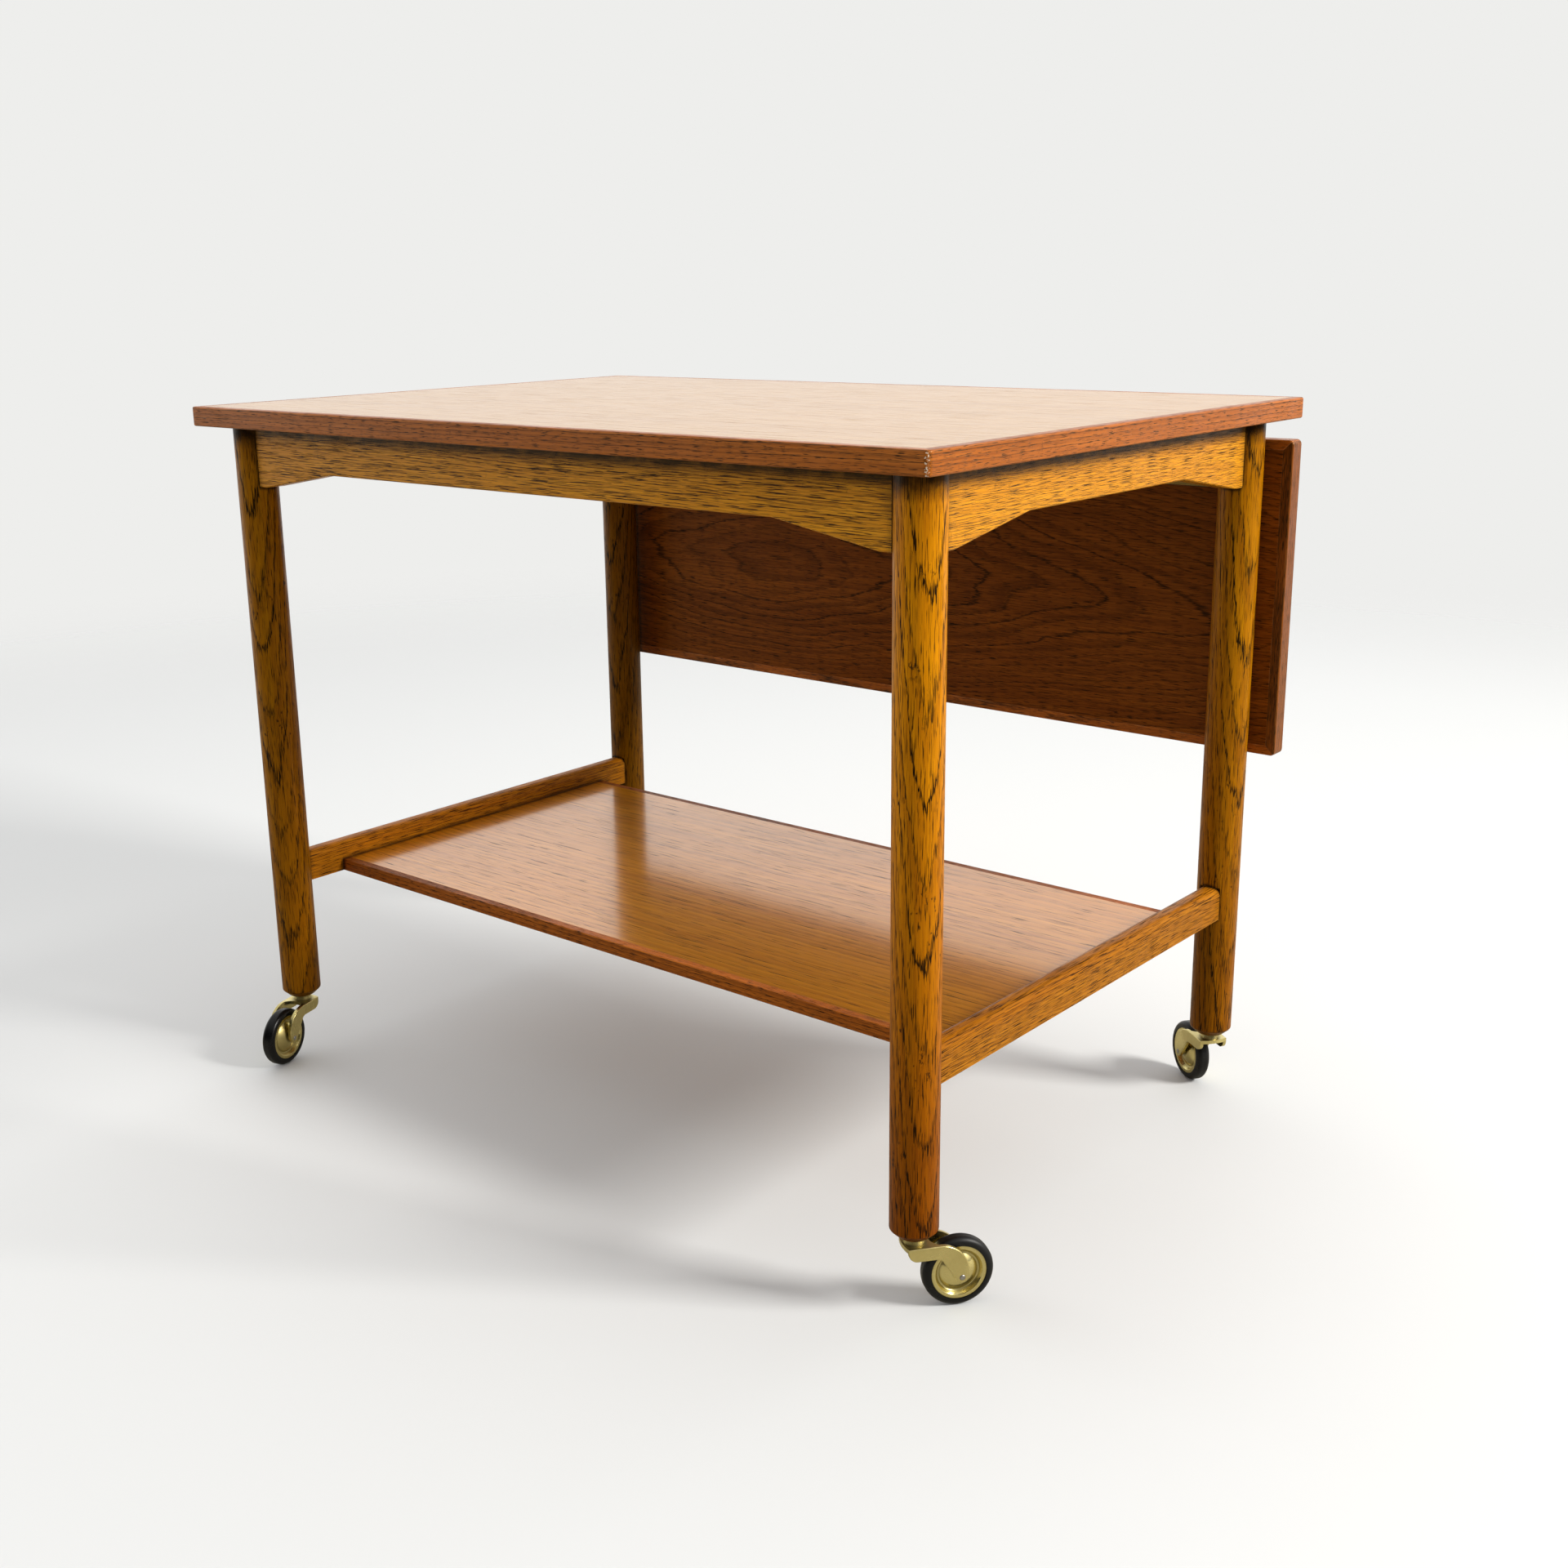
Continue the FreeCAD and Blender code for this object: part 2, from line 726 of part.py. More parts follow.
# Drop leaf, drawn flat and stood up behind the back apron
STANDING = Rotation(Vector(1, 0, 0), QUARTER_TURN)
leaf_names = ("leaf_bottom_lipping", "leaf_right_lipping", "leaf_top_lipping", "leaf_left_lipping")
leaf_frame = mitred_frame(leaf_names, s.top_length, s.leaf_depth, 0, back_edge, leaf_middle, STANDING)
for name, strip in zip(leaf_names, leaf_frame):
    if name == "leaf_top_lipping":
        strip = cut(name, strip, hinge_recesses("leaf_lipping", "leaf"))
    keep(name, strip)
leaf_panel_half = s.leaf_depth / 2 - s.lipping_width
leaf_blank = box("leaf_panel_board", (-panel_half_x, panel_half_x), (hinge_line, back_edge),
                 (leaf_middle - leaf_panel_half, leaf_middle + leaf_panel_half))
leaf_cuts = hinge_recesses("leaf_panel", "leaf")
leaf_cuts += pilot_holes("leaf_pilot", leaf_screw_places, s.hinge_screw_radius, s.hinge_screw_length, "Y")
keep("leaf_panel", cut("leaf_panel_cut", leaf_blank, leaf_cuts))


# Aprons, with dowels into the legs

def apron_blank(name, half):
    body = new_body(name)
    sketch = new_sketch(body, "XZ_Plane", f"{name}_outline")
    end_foot = top_under - s.apron_end_depth
    arch = top_under - s.apron_depth
    low_in = half - s.arch_foot
    high_in = low_in - s.arch_run
    draw(sketch, [
        Corner(-half, end_foot),
        Corner(-low_in, end_foot),
        Corner(-high_in, arch),
        Corner(high_in, arch),
        Corner(low_in, end_foot),
        Corner(half, end_foot),
        Corner(half, top_under),
        Corner(-half, top_under),
    ])
    pad(body, sketch, s.apron_thickness, both_ways=True)
    across = (low_in, -low_in, high_in, -high_in)
    soften(body, s.arch_round, lambda edge: any(lies_at(edge, x=x) for x in across)
           and edge.BoundBox.ZMax < number(arch) + SAME_PLACE)
    soften(body, s.apron_arris, lambda edge: abs(abs(edge.CenterOfMass.y) - number(apron_half)) < SAME_PLACE
           and edge.BoundBox.ZMin < number(arch) + SAME_PLACE, "Chamfer")
    return body


dowel_length = s.dowel_in_leg + s.dowel_in_rail
hole_length = dowel_length + 2 * s.dowel_end_room
apron_dowels = []
dowel_holes = {}


def dowel_row(owner, name, along, seat_half, across, height, sign, joints):
    middle = sign * (seat_half + s.dowel_in_leg / 2 - s.dowel_in_rail / 2)
    start = middle - dowel_length / 2
    hole_start = middle - hole_length / 2
    x, y = (start, across) if along == "X" else (across, start)
    hole_x, hole_y = (hole_start, across) if along == "X" else (across, hole_start)
    owner.append(rod(name, s.dowel_radius, dowel_length, x, y, height, along))
    for joint in joints:
        hole = rod(f"{name}_hole_{joint}", dowel_hole, hole_length, hole_x, hole_y, height, along)
        dowel_holes.setdefault(joint, []).append(hole)


for end, end_sign in ENDS:
    for side, sign in SIDES:
        for level, down in (("upper", s.long_dowel_upper), ("lower", s.long_dowel_lower)):
            dowel_row(apron_dowels, f"{end}_{side}_long_dowel_{level}", "X", long_half, end_sign * leg_y,
                      top_under - down, sign, (f"{end}_{side}_leg", f"{end}_apron"))
        for level, down in (("upper", s.short_dowel_upper), ("lower", s.short_dowel_lower)):
            dowel_row(apron_dowels, f"{end}_{side}_short_dowel_{level}", "Y", short_half, sign * leg_x,
                      top_under - down, end_sign, (f"{end}_{side}_leg", f"{side}_apron"))
keep_group("apron_dowels", apron_dowels)

stretcher_dowels = []
for end, end_sign in ENDS:
    for side, sign in SIDES:
        for level, up in (("low", s.stretcher_dowel_low), ("high", s.stretcher_dowel_high)):
            dowel_row(stretcher_dowels, f"{end}_{side}_stretcher_dowel_{level}", "Y", stretcher_half,
                      sign * leg_x, s.stretcher_foot + up, end_sign,
                      (f"{end}_{side}_leg", f"{side}_stretcher"))
keep_group("stretcher_dowels", stretcher_dowels)

for end, end_sign in ENDS:
    blank = place(apron_blank(f"{end}_apron_blank", long_half), 0, end_sign * leg_y, 0)
    cuts = dowel_holes[f"{end}_apron"]
    if end == "back":
        for side, sign in SIDES:
            x_ends = (sign * s.loper_from_middle - guide_half, sign * s.loper_from_middle + guide_half)
            cuts.append(box(f"{side}_loper_notch", x_ends,
                            (apron_inner_y - s.overrun, leg_y + apron_half + s.overrun),
                            (guide_top_of_floor, top_under + s.overrun)))
    keep(f"{end}_apron", cut(f"{end}_apron_cut", blank, cuts))
for side, sign in SIDES:
    blank = place(apron_blank(f"{side}_apron_blank", short_half), sign * leg_x, 0, 0, about_z(QUARTER_TURN))
    keep(f"{side}_apron", cut(f"{side}_apron_cut", blank, dowel_holes[f"{side}_apron"]))


# Glue blocks, each with a screw up into the top
blocks = []
for where, x, y in block_places:
    blank = bar(f"{where}_block_blank", s.block_length, s.block_width, s.block_height)
    place(blank, x, y, block_foot, about_z(QUARTER_TURN) if where.startswith("end") else None)
    hole = rod(f"{where}_block_hole", s.wood_screw_radius + s.screw_fit, s.block_height + 2 * s.overrun,
               x, y, block_foot - s.overrun)
    sink = countersink(f"{where}_block_sink", s.wood_screw_head + s.screw_fit,
                       s.wood_screw_radius + s.screw_fit, s.wood_screw_head_height, x, y, block_foot)
    blocks.append(cut(f"{where}_block", blank, [hole, sink]))
keep_group("glue_blocks", blocks)


# Shelf between the stretchers, lipped front and back
shelf_dowels = []
shelf_dowel_length = s.shelf_dowel_in_stretcher + s.shelf_dowel_in_shelf
for side, sign in SIDES:
    for index, share in enumerate(ROW_SHARES):
        middle = sign * (shelf_half + s.shelf_dowel_in_stretcher / 2 - s.shelf_dowel_in_shelf / 2)
        y = share * s.shelf_dowel_pitch
        shelf_dowels.append(rod(f"{side}_shelf_dowel_{index}", s.shelf_dowel_radius, shelf_dowel_length,
                                middle - shelf_dowel_length / 2, y, shelf_dowel_z, "X"))
        for joint in (f"{side}_stretcher", "shelf_panel"):
            hole = rod(f"{side}_shelf_dowel_{index}_hole_{joint}", shelf_dowel_hole,
                       shelf_dowel_length + 2 * s.dowel_end_room,
                       middle - shelf_dowel_length / 2 - s.dowel_end_room, y, shelf_dowel_z, "X")
            dowel_holes.setdefault(joint, []).append(hole)
keep_group("shelf_dowels", shelf_dowels)

shelf_panel_half = s.shelf_depth / 2 - s.lipping_width
shelf_blank = box("shelf_panel_board", (-shelf_half, shelf_half), (-shelf_panel_half, shelf_panel_half),
                  (s.stretcher_foot, s.stretcher_foot + s.shelf_thickness))
keep("shelf_panel", cut("shelf_panel_cut", shelf_blank, dowel_holes["shelf_panel"]))
for end, end_sign in ENDS:
    strip = bar(f"shelf_{end}_strip", 2 * shelf_half, s.lipping_width, s.shelf_thickness)
    outer_y = s.lipping_width / 2 * end_sign
    soften(strip, s.shelf_arris, lambda edge: lies_at(edge, y=outer_y, z=0)
           or lies_at(edge, y=outer_y, z=s.shelf_thickness))
    place(strip, 0, end_sign * (shelf_panel_half + s.lipping_width / 2), s.stretcher_foot)
    keep(f"shelf_{end}_lipping", strip)

for side, sign in SIDES:
    blank = bar(f"{side}_stretcher_blank", s.stretcher_thickness, 2 * stretcher_half, s.stretcher_height)
    half = s.stretcher_thickness / 2
    soften(blank, s.stretcher_round, lambda edge: lies_at(edge, x=half, z=s.stretcher_height)
           or lies_at(edge, x=-half, z=s.stretcher_height))
    place(blank, sign * leg_x, 0, s.stretcher_foot)
    keep(f"{side}_stretcher", cut(f"{side}_stretcher_cut", blank, dowel_holes[f"{side}_stretcher"]))


# Legs, flattened where the aprons and the stretchers meet them

def leg_blank(name):
    body = new_body(name)
    sketch = new_sketch(body, "XZ_Plane", f"{name}_outline")
    bevel_top = s.leg_foot_height + s.leg_bevel_height
    draw(sketch, [
        Corner(0, s.leg_foot_height),
        Corner(s.leg_foot_radius, s.leg_foot_height),
        Corner(s.leg_radius, bevel_top),
        Corner(s.leg_radius, top_under),
        Corner(0, top_under),
    ])
    revolve(body, sketch)
    soften(body, s.leg_foot_round,
           lambda edge: lies_at(edge, z=s.leg_foot_height) or lies_at(edge, z=bevel_top))
    return body


def leg_seats(name, sign, end_sign):
    past = s.leg_radius + s.overrun
    x, y = sign * leg_x, end_sign * leg_y
    return [
        box(f"{name}_long_seat", (x - sign * apron_seat, x - sign * past), (y - apron_half, y + apron_half),
            (top_under - s.apron_end_depth, top_under + s.overrun)),
        box(f"{name}_short_seat", (x - apron_half, x + apron_half),
            (y - end_sign * apron_seat, y - end_sign * past),
            (top_under - s.apron_end_depth, top_under + s.overrun)),
        box(f"{name}_stretcher_seat", (x - s.stretcher_thickness / 2, x + s.stretcher_thickness / 2),
            (y - end_sign * stretcher_seat, y - end_sign * past),
            (s.stretcher_foot, s.stretcher_foot + s.stretcher_height)),
    ]


socket_bore = s.stem_radius + s.stem_fit
socket_outer = socket_bore + s.socket_wall
socket_foot = s.leg_foot_height - s.socket_flange
for end, end_sign in ENDS:
    for side, sign in SIDES:
        name = f"{end}_{side}_leg"
        blank = place(leg_blank(f"{name}_blank"), sign * leg_x, end_sign * leg_y, 0)
        hole = rod(f"{name}_socket_hole", socket_outer + s.dowel_fit,
                   s.socket_length + s.dowel_end_room + s.overrun, sign * leg_x, end_sign * leg_y,
                   s.leg_foot_height - s.overrun)
        keep(name, cut(f"{name}_cut", blank, leg_seats(name, sign, end_sign) + dowel_holes[name] + [hole]))


# Pull-out supports for the raised leaf, in guides screwed under the top
for side, sign in SIDES:
    x = sign * s.loper_from_middle
    blank = bar(f"{side}_loper_blank", s.loper_width, loper_length, s.loper_height)
    half = s.loper_width / 2
    soften(blank, s.loper_arris, lambda edge: lies_at(edge, y=loper_length / 2))
    place(blank, x, loper_end - loper_length / 2, loper_foot)
    peg_hole = rod(f"{side}_peg_hole", s.peg_radius + s.dowel_fit,
                   s.peg_in_loper + s.dowel_end_room + s.overrun, x, peg_y, loper_foot - s.overrun)
    grip = rod(f"{side}_grip", s.grip_radius, s.loper_width + 2 * s.overrun, x - half - s.overrun,
               loper_end - s.grip_inset, loper_foot, "X")
    keep(f"{side}_loper", cut(f"{side}_loper_cut", blank, [peg_hole, grip]))
    peg_foot = guide_foot + s.peg_recess
    peg = rod(f"{side}_peg", s.peg_radius, loper_foot + s.peg_in_loper - peg_foot, x, peg_y, peg_foot)
    keep(f"{side}_loper_peg", peg)

    outer = guide_half + s.guide_cheek
    trough = box(f"{side}_guide_block", (x - outer, x + outer), (guide_start, apron_inner_y),
                 (guide_foot, top_under))
    channel = box(f"{side}_guide_channel", (x - guide_half, x + guide_half),
                  (guide_start - s.overrun, apron_inner_y + s.overrun),
                  (guide_top_of_floor, top_under + s.overrun))
    slot_half = s.peg_radius + s.loper_fit
    slot = box(f"{side}_guide_slot", (x - slot_half, x + slot_half),
               (guide_start + s.slot_inset, slot_end), (guide_foot - s.overrun, loper_foot))
    holes = []
    for index, (hole_x, y, _) in enumerate(guide_screws[side]):
        holes.append(rod(f"{side}_guide_hole_{index}", s.wood_screw_radius + s.screw_fit,
                         top_under - guide_foot + 2 * s.overrun, hole_x, y, guide_foot - s.overrun))
        holes.append(countersink(f"{side}_guide_sink_{index}", s.wood_screw_head + s.screw_fit,
                                 s.wood_screw_radius + s.screw_fit, s.wood_screw_head_height,
                                 hole_x, y, guide_foot))
    keep(f"{side}_loper_guide", cut(f"{side}_loper_guide_cut", trough, [channel, slot] + holes))


# Caster sockets, pressed into the feet of the legs

def caster_socket(name):
    body = new_body(name)
    sketch = new_sketch(body, "XZ_Plane", f"{name}_outline")
    top = s.leg_foot_height + s.socket_length
    draw(sketch, [
        Corner(socket_bore, socket_foot),
        Corner(s.socket_flange_radius, socket_foot),
        Corner(s.socket_flange_radius, s.leg_foot_height),
        Corner(socket_outer, s.leg_foot_height),
        Corner(socket_outer, top),
        Corner(socket_bore, top),
    ])
    revolve(body, sketch)
    return body


socket = caster_socket("caster_socket")
sockets = []
for end, end_sign in ENDS:
    for side, sign in SIDES:
        sockets.append(copy_at(f"{end}_{side}_socket", socket, sign * leg_x, end_sign * leg_y, 0))
keep_group("caster_sockets", sockets)


# Caster parts, drawn about the stem with the wheel trailing along X

def place_caster_part(item, side_sign, end_sign, trail_angle):
    place(item, side_sign * leg_x, end_sign * leg_y, 0, about_z(trail_angle))
    bind(item, "Placement.Rotation.Angle", trail_angle)
    return item


def cheek_outline(sketch):
    top = s.fork_top
    low = s.fork_top - s.cheek_depth
    radius = s.cheek_end_radius
    run = s.caster_trail - s.plate_rear
    drop = top - s.wheel_radius
    sweep = (run * run + drop * drop - radius * radius) / (2 * (drop - radius))
    end_x = s.caster_trail + radius * run / (sweep - radius)
    end_z = s.wheel_radius + radius * (sweep - drop) / (sweep - radius)
    front = s.cheek_front_round - s.fork_nose
    axle = (s.caster_trail, s.wheel_radius)
    draw(sketch, [
        Corner(-s.fork_nose, top),
        Corner(s.plate_rear, top, radius=number(sweep), turn=RIGHT, smooth=True),
        Corner(end_x, end_z, radius=radius, turn=RIGHT, held=False, smooth=True, centre=axle),
        Corner(s.caster_trail - radius * 3 / 4, s.wheel_radius - radius * 2 / 3, held=False, smooth=True),
        Corner(s.cheek_throat + s.cheek_throat_round * 3 / 4, low - s.cheek_throat_round / 3,
               radius=s.cheek_throat_round, turn=LEFT, held=False, smooth=True),
        Corner(s.cheek_throat, low, smooth=True),
        Corner(front, low, radius=s.cheek_front_round, turn=RIGHT, smooth=True),
        Corner(-s.fork_nose, low + s.cheek_front_round, held=False, smooth=True),
    ])
    return sketch


def caster_fork(name):
    body = new_body(name)
    width = 2 * s.fork_half_width
    under = s.fork_top - s.fork_plate
    pad(body, cheek_outline(new_sketch(body, "XZ_Plane", f"{name}_cheeks")), width, both_ways=True)
    behind = s.caster_trail + s.wheel_radius
    slot = draw(new_sketch(body, "XZ_Plane", f"{name}_slot"), [
        Corner(-s.fork_nose - s.overrun, 0),
        Corner(behind, 0),
        Corner(behind, s.fork_top + s.overrun),
        Corner(s.plate_rear, s.fork_top + s.overrun),
        Corner(s.plate_rear, under),
        Corner(-s.fork_nose - s.overrun, under),
    ])
    pocket(body, slot, width - 2 * s.fork_plate, both_ways=True)
    outer = s.fork_half_width
    soften(body, s.cheek_arris, lambda edge: lies_at(edge, y=outer) or lies_at(edge, y=-outer))
    inner = outer - s.fork_plate
    arch = s.plate_arch
    rear = draw(new_sketch(body, "XY_Plane", f"{name}_rear", z=s.fork_top + s.overrun), [
        Corner(s.plate_rear, inner, radius=(inner * inner + arch * arch) / (2 * arch), turn=LEFT),
        Corner(s.plate_rear, -inner),
        Corner(s.plate_rear + s.overrun, -inner),
        Corner(s.plate_rear + s.overrun, inner),
    ])
    pocket(body, rear, s.fork_plate + 2 * s.overrun)
    half = outer - s.cheek_arris
    bulge = s.fork_nose_bulge
    nose = draw(new_sketch(body, "XY_Plane", f"{name}_nose", z=under), [
        Corner(-s.fork_nose, half, radius=(half * half + bulge * bulge) / (2 * bulge), turn=LEFT),
        Corner(-s.fork_nose, -half),
    ])
    pad(body, nose, s.fork_plate)
    collar_top = socket_foot - s.swivel_gap
    stem_top = collar_top + s.stem_length
    stem = draw(new_sketch(body, "XZ_Plane", f"{name}_stem"), [
        Corner(0, under),
        Corner(s.collar_top_radius, under),
        Corner(s.collar_foot_radius, s.fork_top),
        Corner(s.collar_top_radius, collar_top),
        Corner(s.stem_radius, collar_top),
        Corner(s.stem_radius, stem_top - s.stem_chamfer),
        Corner(s.stem_radius - s.stem_chamfer, stem_top),
        Corner(0, stem_top),
    ])
    revolve(body, stem)
    bore = draw_circle(new_sketch(body, "XZ_Plane", f"{name}_axle_hole"), s.caster_trail, s.wheel_radius,
                       s.axle_radius + s.axle_fit)
    pocket(body, bore, width + 2 * s.overrun, both_ways=True)
    return body


def wheel_sketch(body, name):
    return new_sketch(body, "XY_Plane", name, x=s.caster_trail, z=s.wheel_radius)


def caster_axle(name):
    body = new_body(name)
    half = s.fork_half_width + s.axle_stand
    sketch = wheel_sketch(body, f"{name}_outline")
    draw(sketch, [
        Corner(0, -half),
        Corner(s.axle_radius - s.axle_chamfer, -half),
        Corner(s.axle_radius, s.axle_chamfer - half),
        Corner(s.axle_radius, half - s.axle_chamfer),
        Corner(s.axle_radius - s.axle_chamfer, half),
        Corner(0, half),
    ])
    revolve(body, sketch)
    return body


# The hub has a flat rim, a well behind it and a crowned middle that rises to the boss

def caster_hub(name):
    body = new_body(name)
    bore = s.axle_radius + s.axle_fit
    boss = s.fork_half_width - s.fork_plate - s.swivel_gap
    rim = s.hub_radius - s.hub_rim_width
    well = rim - s.hub_well_slope
    seat = s.tyre_seat_radius - s.tyre_fit
    inner = s.hub_half_width - s.hub_flange
    sketch = wheel_sketch(body, f"{name}_outline")
    draw(sketch, [
        Corner(bore, -boss),
        Corner(s.hub_boss_radius, -boss),
        Corner(s.hub_boss_radius, -s.hub_crown, radius=s.hub_crown_radius, turn=LEFT),
        Corner(well, -s.hub_web),
        Corner(rim, -s.hub_half_width),
        Corner(s.hub_radius, -s.hub_half_width),
        Corner(s.hub_radius, -inner),
        Corner(seat, -inner),
        Corner(seat, inner),
        Corner(s.hub_radius, inner),
        Corner(s.hub_radius, s.hub_half_width),
        Corner(rim, s.hub_half_width),
        Corner(well, s.hub_web, radius=s.hub_crown_radius, turn=LEFT),
        Corner(s.hub_boss_radius, s.hub_crown),
        Corner(s.hub_boss_radius, boss),
        Corner(bore, boss),
    ])
    revolve(body, sketch)
    for face, round_size in ((s.hub_web, s.hub_well_round), (s.hub_half_width, s.hub_rim_round)):
        soften(body, round_size, lambda edge: lies_at(edge, y=face) or lies_at(edge, y=-face))
    return body


def caster_tyre(name):
    body = new_body(name)
    inner = s.hub_half_width - s.hub_flange - s.tyre_fit
    lip = s.hub_radius + s.tyre_fit
    wide = s.tyre_half_width
    shoulder = s.tyre_shoulder
    sketch = wheel_sketch(body, f"{name}_outline")
    draw(sketch, [
        Corner(s.tyre_seat_radius, -inner),
        Corner(lip, -inner),
        Corner(lip, -wide),
        Corner(s.wheel_radius - shoulder, -wide, radius=shoulder, turn=LEFT),
        Corner(s.wheel_radius, shoulder - wide),
        Corner(s.wheel_radius, wide - shoulder, radius=shoulder, turn=LEFT),
        Corner(s.wheel_radius - shoulder, wide),
        Corner(lip, wide),
        Corner(lip, inner),
        Corner(s.tyre_seat_radius, inner),
    ])
    revolve(body, sketch)
    return body


CASTER_PARTS = (("fork", caster_fork), ("axle", caster_axle), ("hub", caster_hub), ("tyre", caster_tyre))
for end, end_sign in ENDS:
    for side, sign in SIDES:
        trail_angle = getattr(s, f"{end}_{side}_trail_angle")
        for part_name, make in CASTER_PARTS:
            name = f"{end}_{side}_caster_{part_name}"
            part = make(f"{name}_body")
            place_caster_part(part, sign, end_sign, trail_angle)
            keep(name, part)


# Check everything before any file is written
doc.recompute()
for item in doc.Objects:
    if "Invalid" in item.State or "Error" in item.State:
        raise RuntimeError(f"{item.Name} failed: {item.State}")
for name, item in pieces.items():
    if item.Shape.isNull() or not item.Shape.isValid() or not item.Shape.Solids:
        raise RuntimeError(f"{name} has no valid solid")
os.makedirs("parts", exist_ok=True)
for name, item in pieces.items():
    item.Shape.exportStep(f"parts/{name}.step")
print(f"{len(pieces)} sub-parts written")
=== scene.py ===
"""Looks of a folding tea cart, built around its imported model.

The top, the drop leaf and the shelf are teak, the frame is amber-stained oak, and the
casters are plated sheet brass with black rubber tyres.
"""
import logging
import math
from abc import ABC, abstractmethod
from dataclasses import dataclass, field, replace
from enum import Enum
from functools import reduce
from typing import Optional, Sequence, Union

import bpy
from mathutils import Matrix, Vector


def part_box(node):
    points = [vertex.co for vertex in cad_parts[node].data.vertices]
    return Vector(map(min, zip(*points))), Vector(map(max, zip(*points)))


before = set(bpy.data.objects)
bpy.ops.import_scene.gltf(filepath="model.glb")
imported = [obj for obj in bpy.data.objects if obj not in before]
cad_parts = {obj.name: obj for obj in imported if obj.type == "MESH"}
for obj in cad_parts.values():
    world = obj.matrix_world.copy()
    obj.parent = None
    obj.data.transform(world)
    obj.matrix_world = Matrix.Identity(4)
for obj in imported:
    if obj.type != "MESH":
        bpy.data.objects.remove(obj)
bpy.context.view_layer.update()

LOG = logging.getLogger("tea_cart")
Colour = tuple[float, float, float, float]
Point = tuple[float, float, float]
Span = tuple[float, float]
Material = bpy.types.Material
Node = bpy.types.Node
NodeTree = bpy.types.NodeTree
Socket = bpy.types.NodeSocket
Sockets = bpy.types.NodeOutputs
Source = Union[Socket, float, Sequence[float], None]

ORIGIN: Point = (0.0, 0.0, 0.0)
ACROSS: Point = (1.0, 1.0, 0.0)
SIDES = ("left", "right")
ENDS = ("front", "back")


def paint(red: int, green: int, blue: int) -> Colour:
    """Turns a colour as the eye reads it into the linear one that shaders use.

    Args:
        red: Its red, 0 to 255.
        green: Its green.
        blue: Its blue.

    Returns:
        The linear colour with full alpha.
    """
    def linear(value: int) -> float:
        """Undoes the display curve for one channel."""
        share = value / 255
        return share / 12.92 if share <= 0.04045 else ((share + 0.055) / 1.055) ** 2.4

    return (linear(red), linear(green), linear(blue), 1.0)


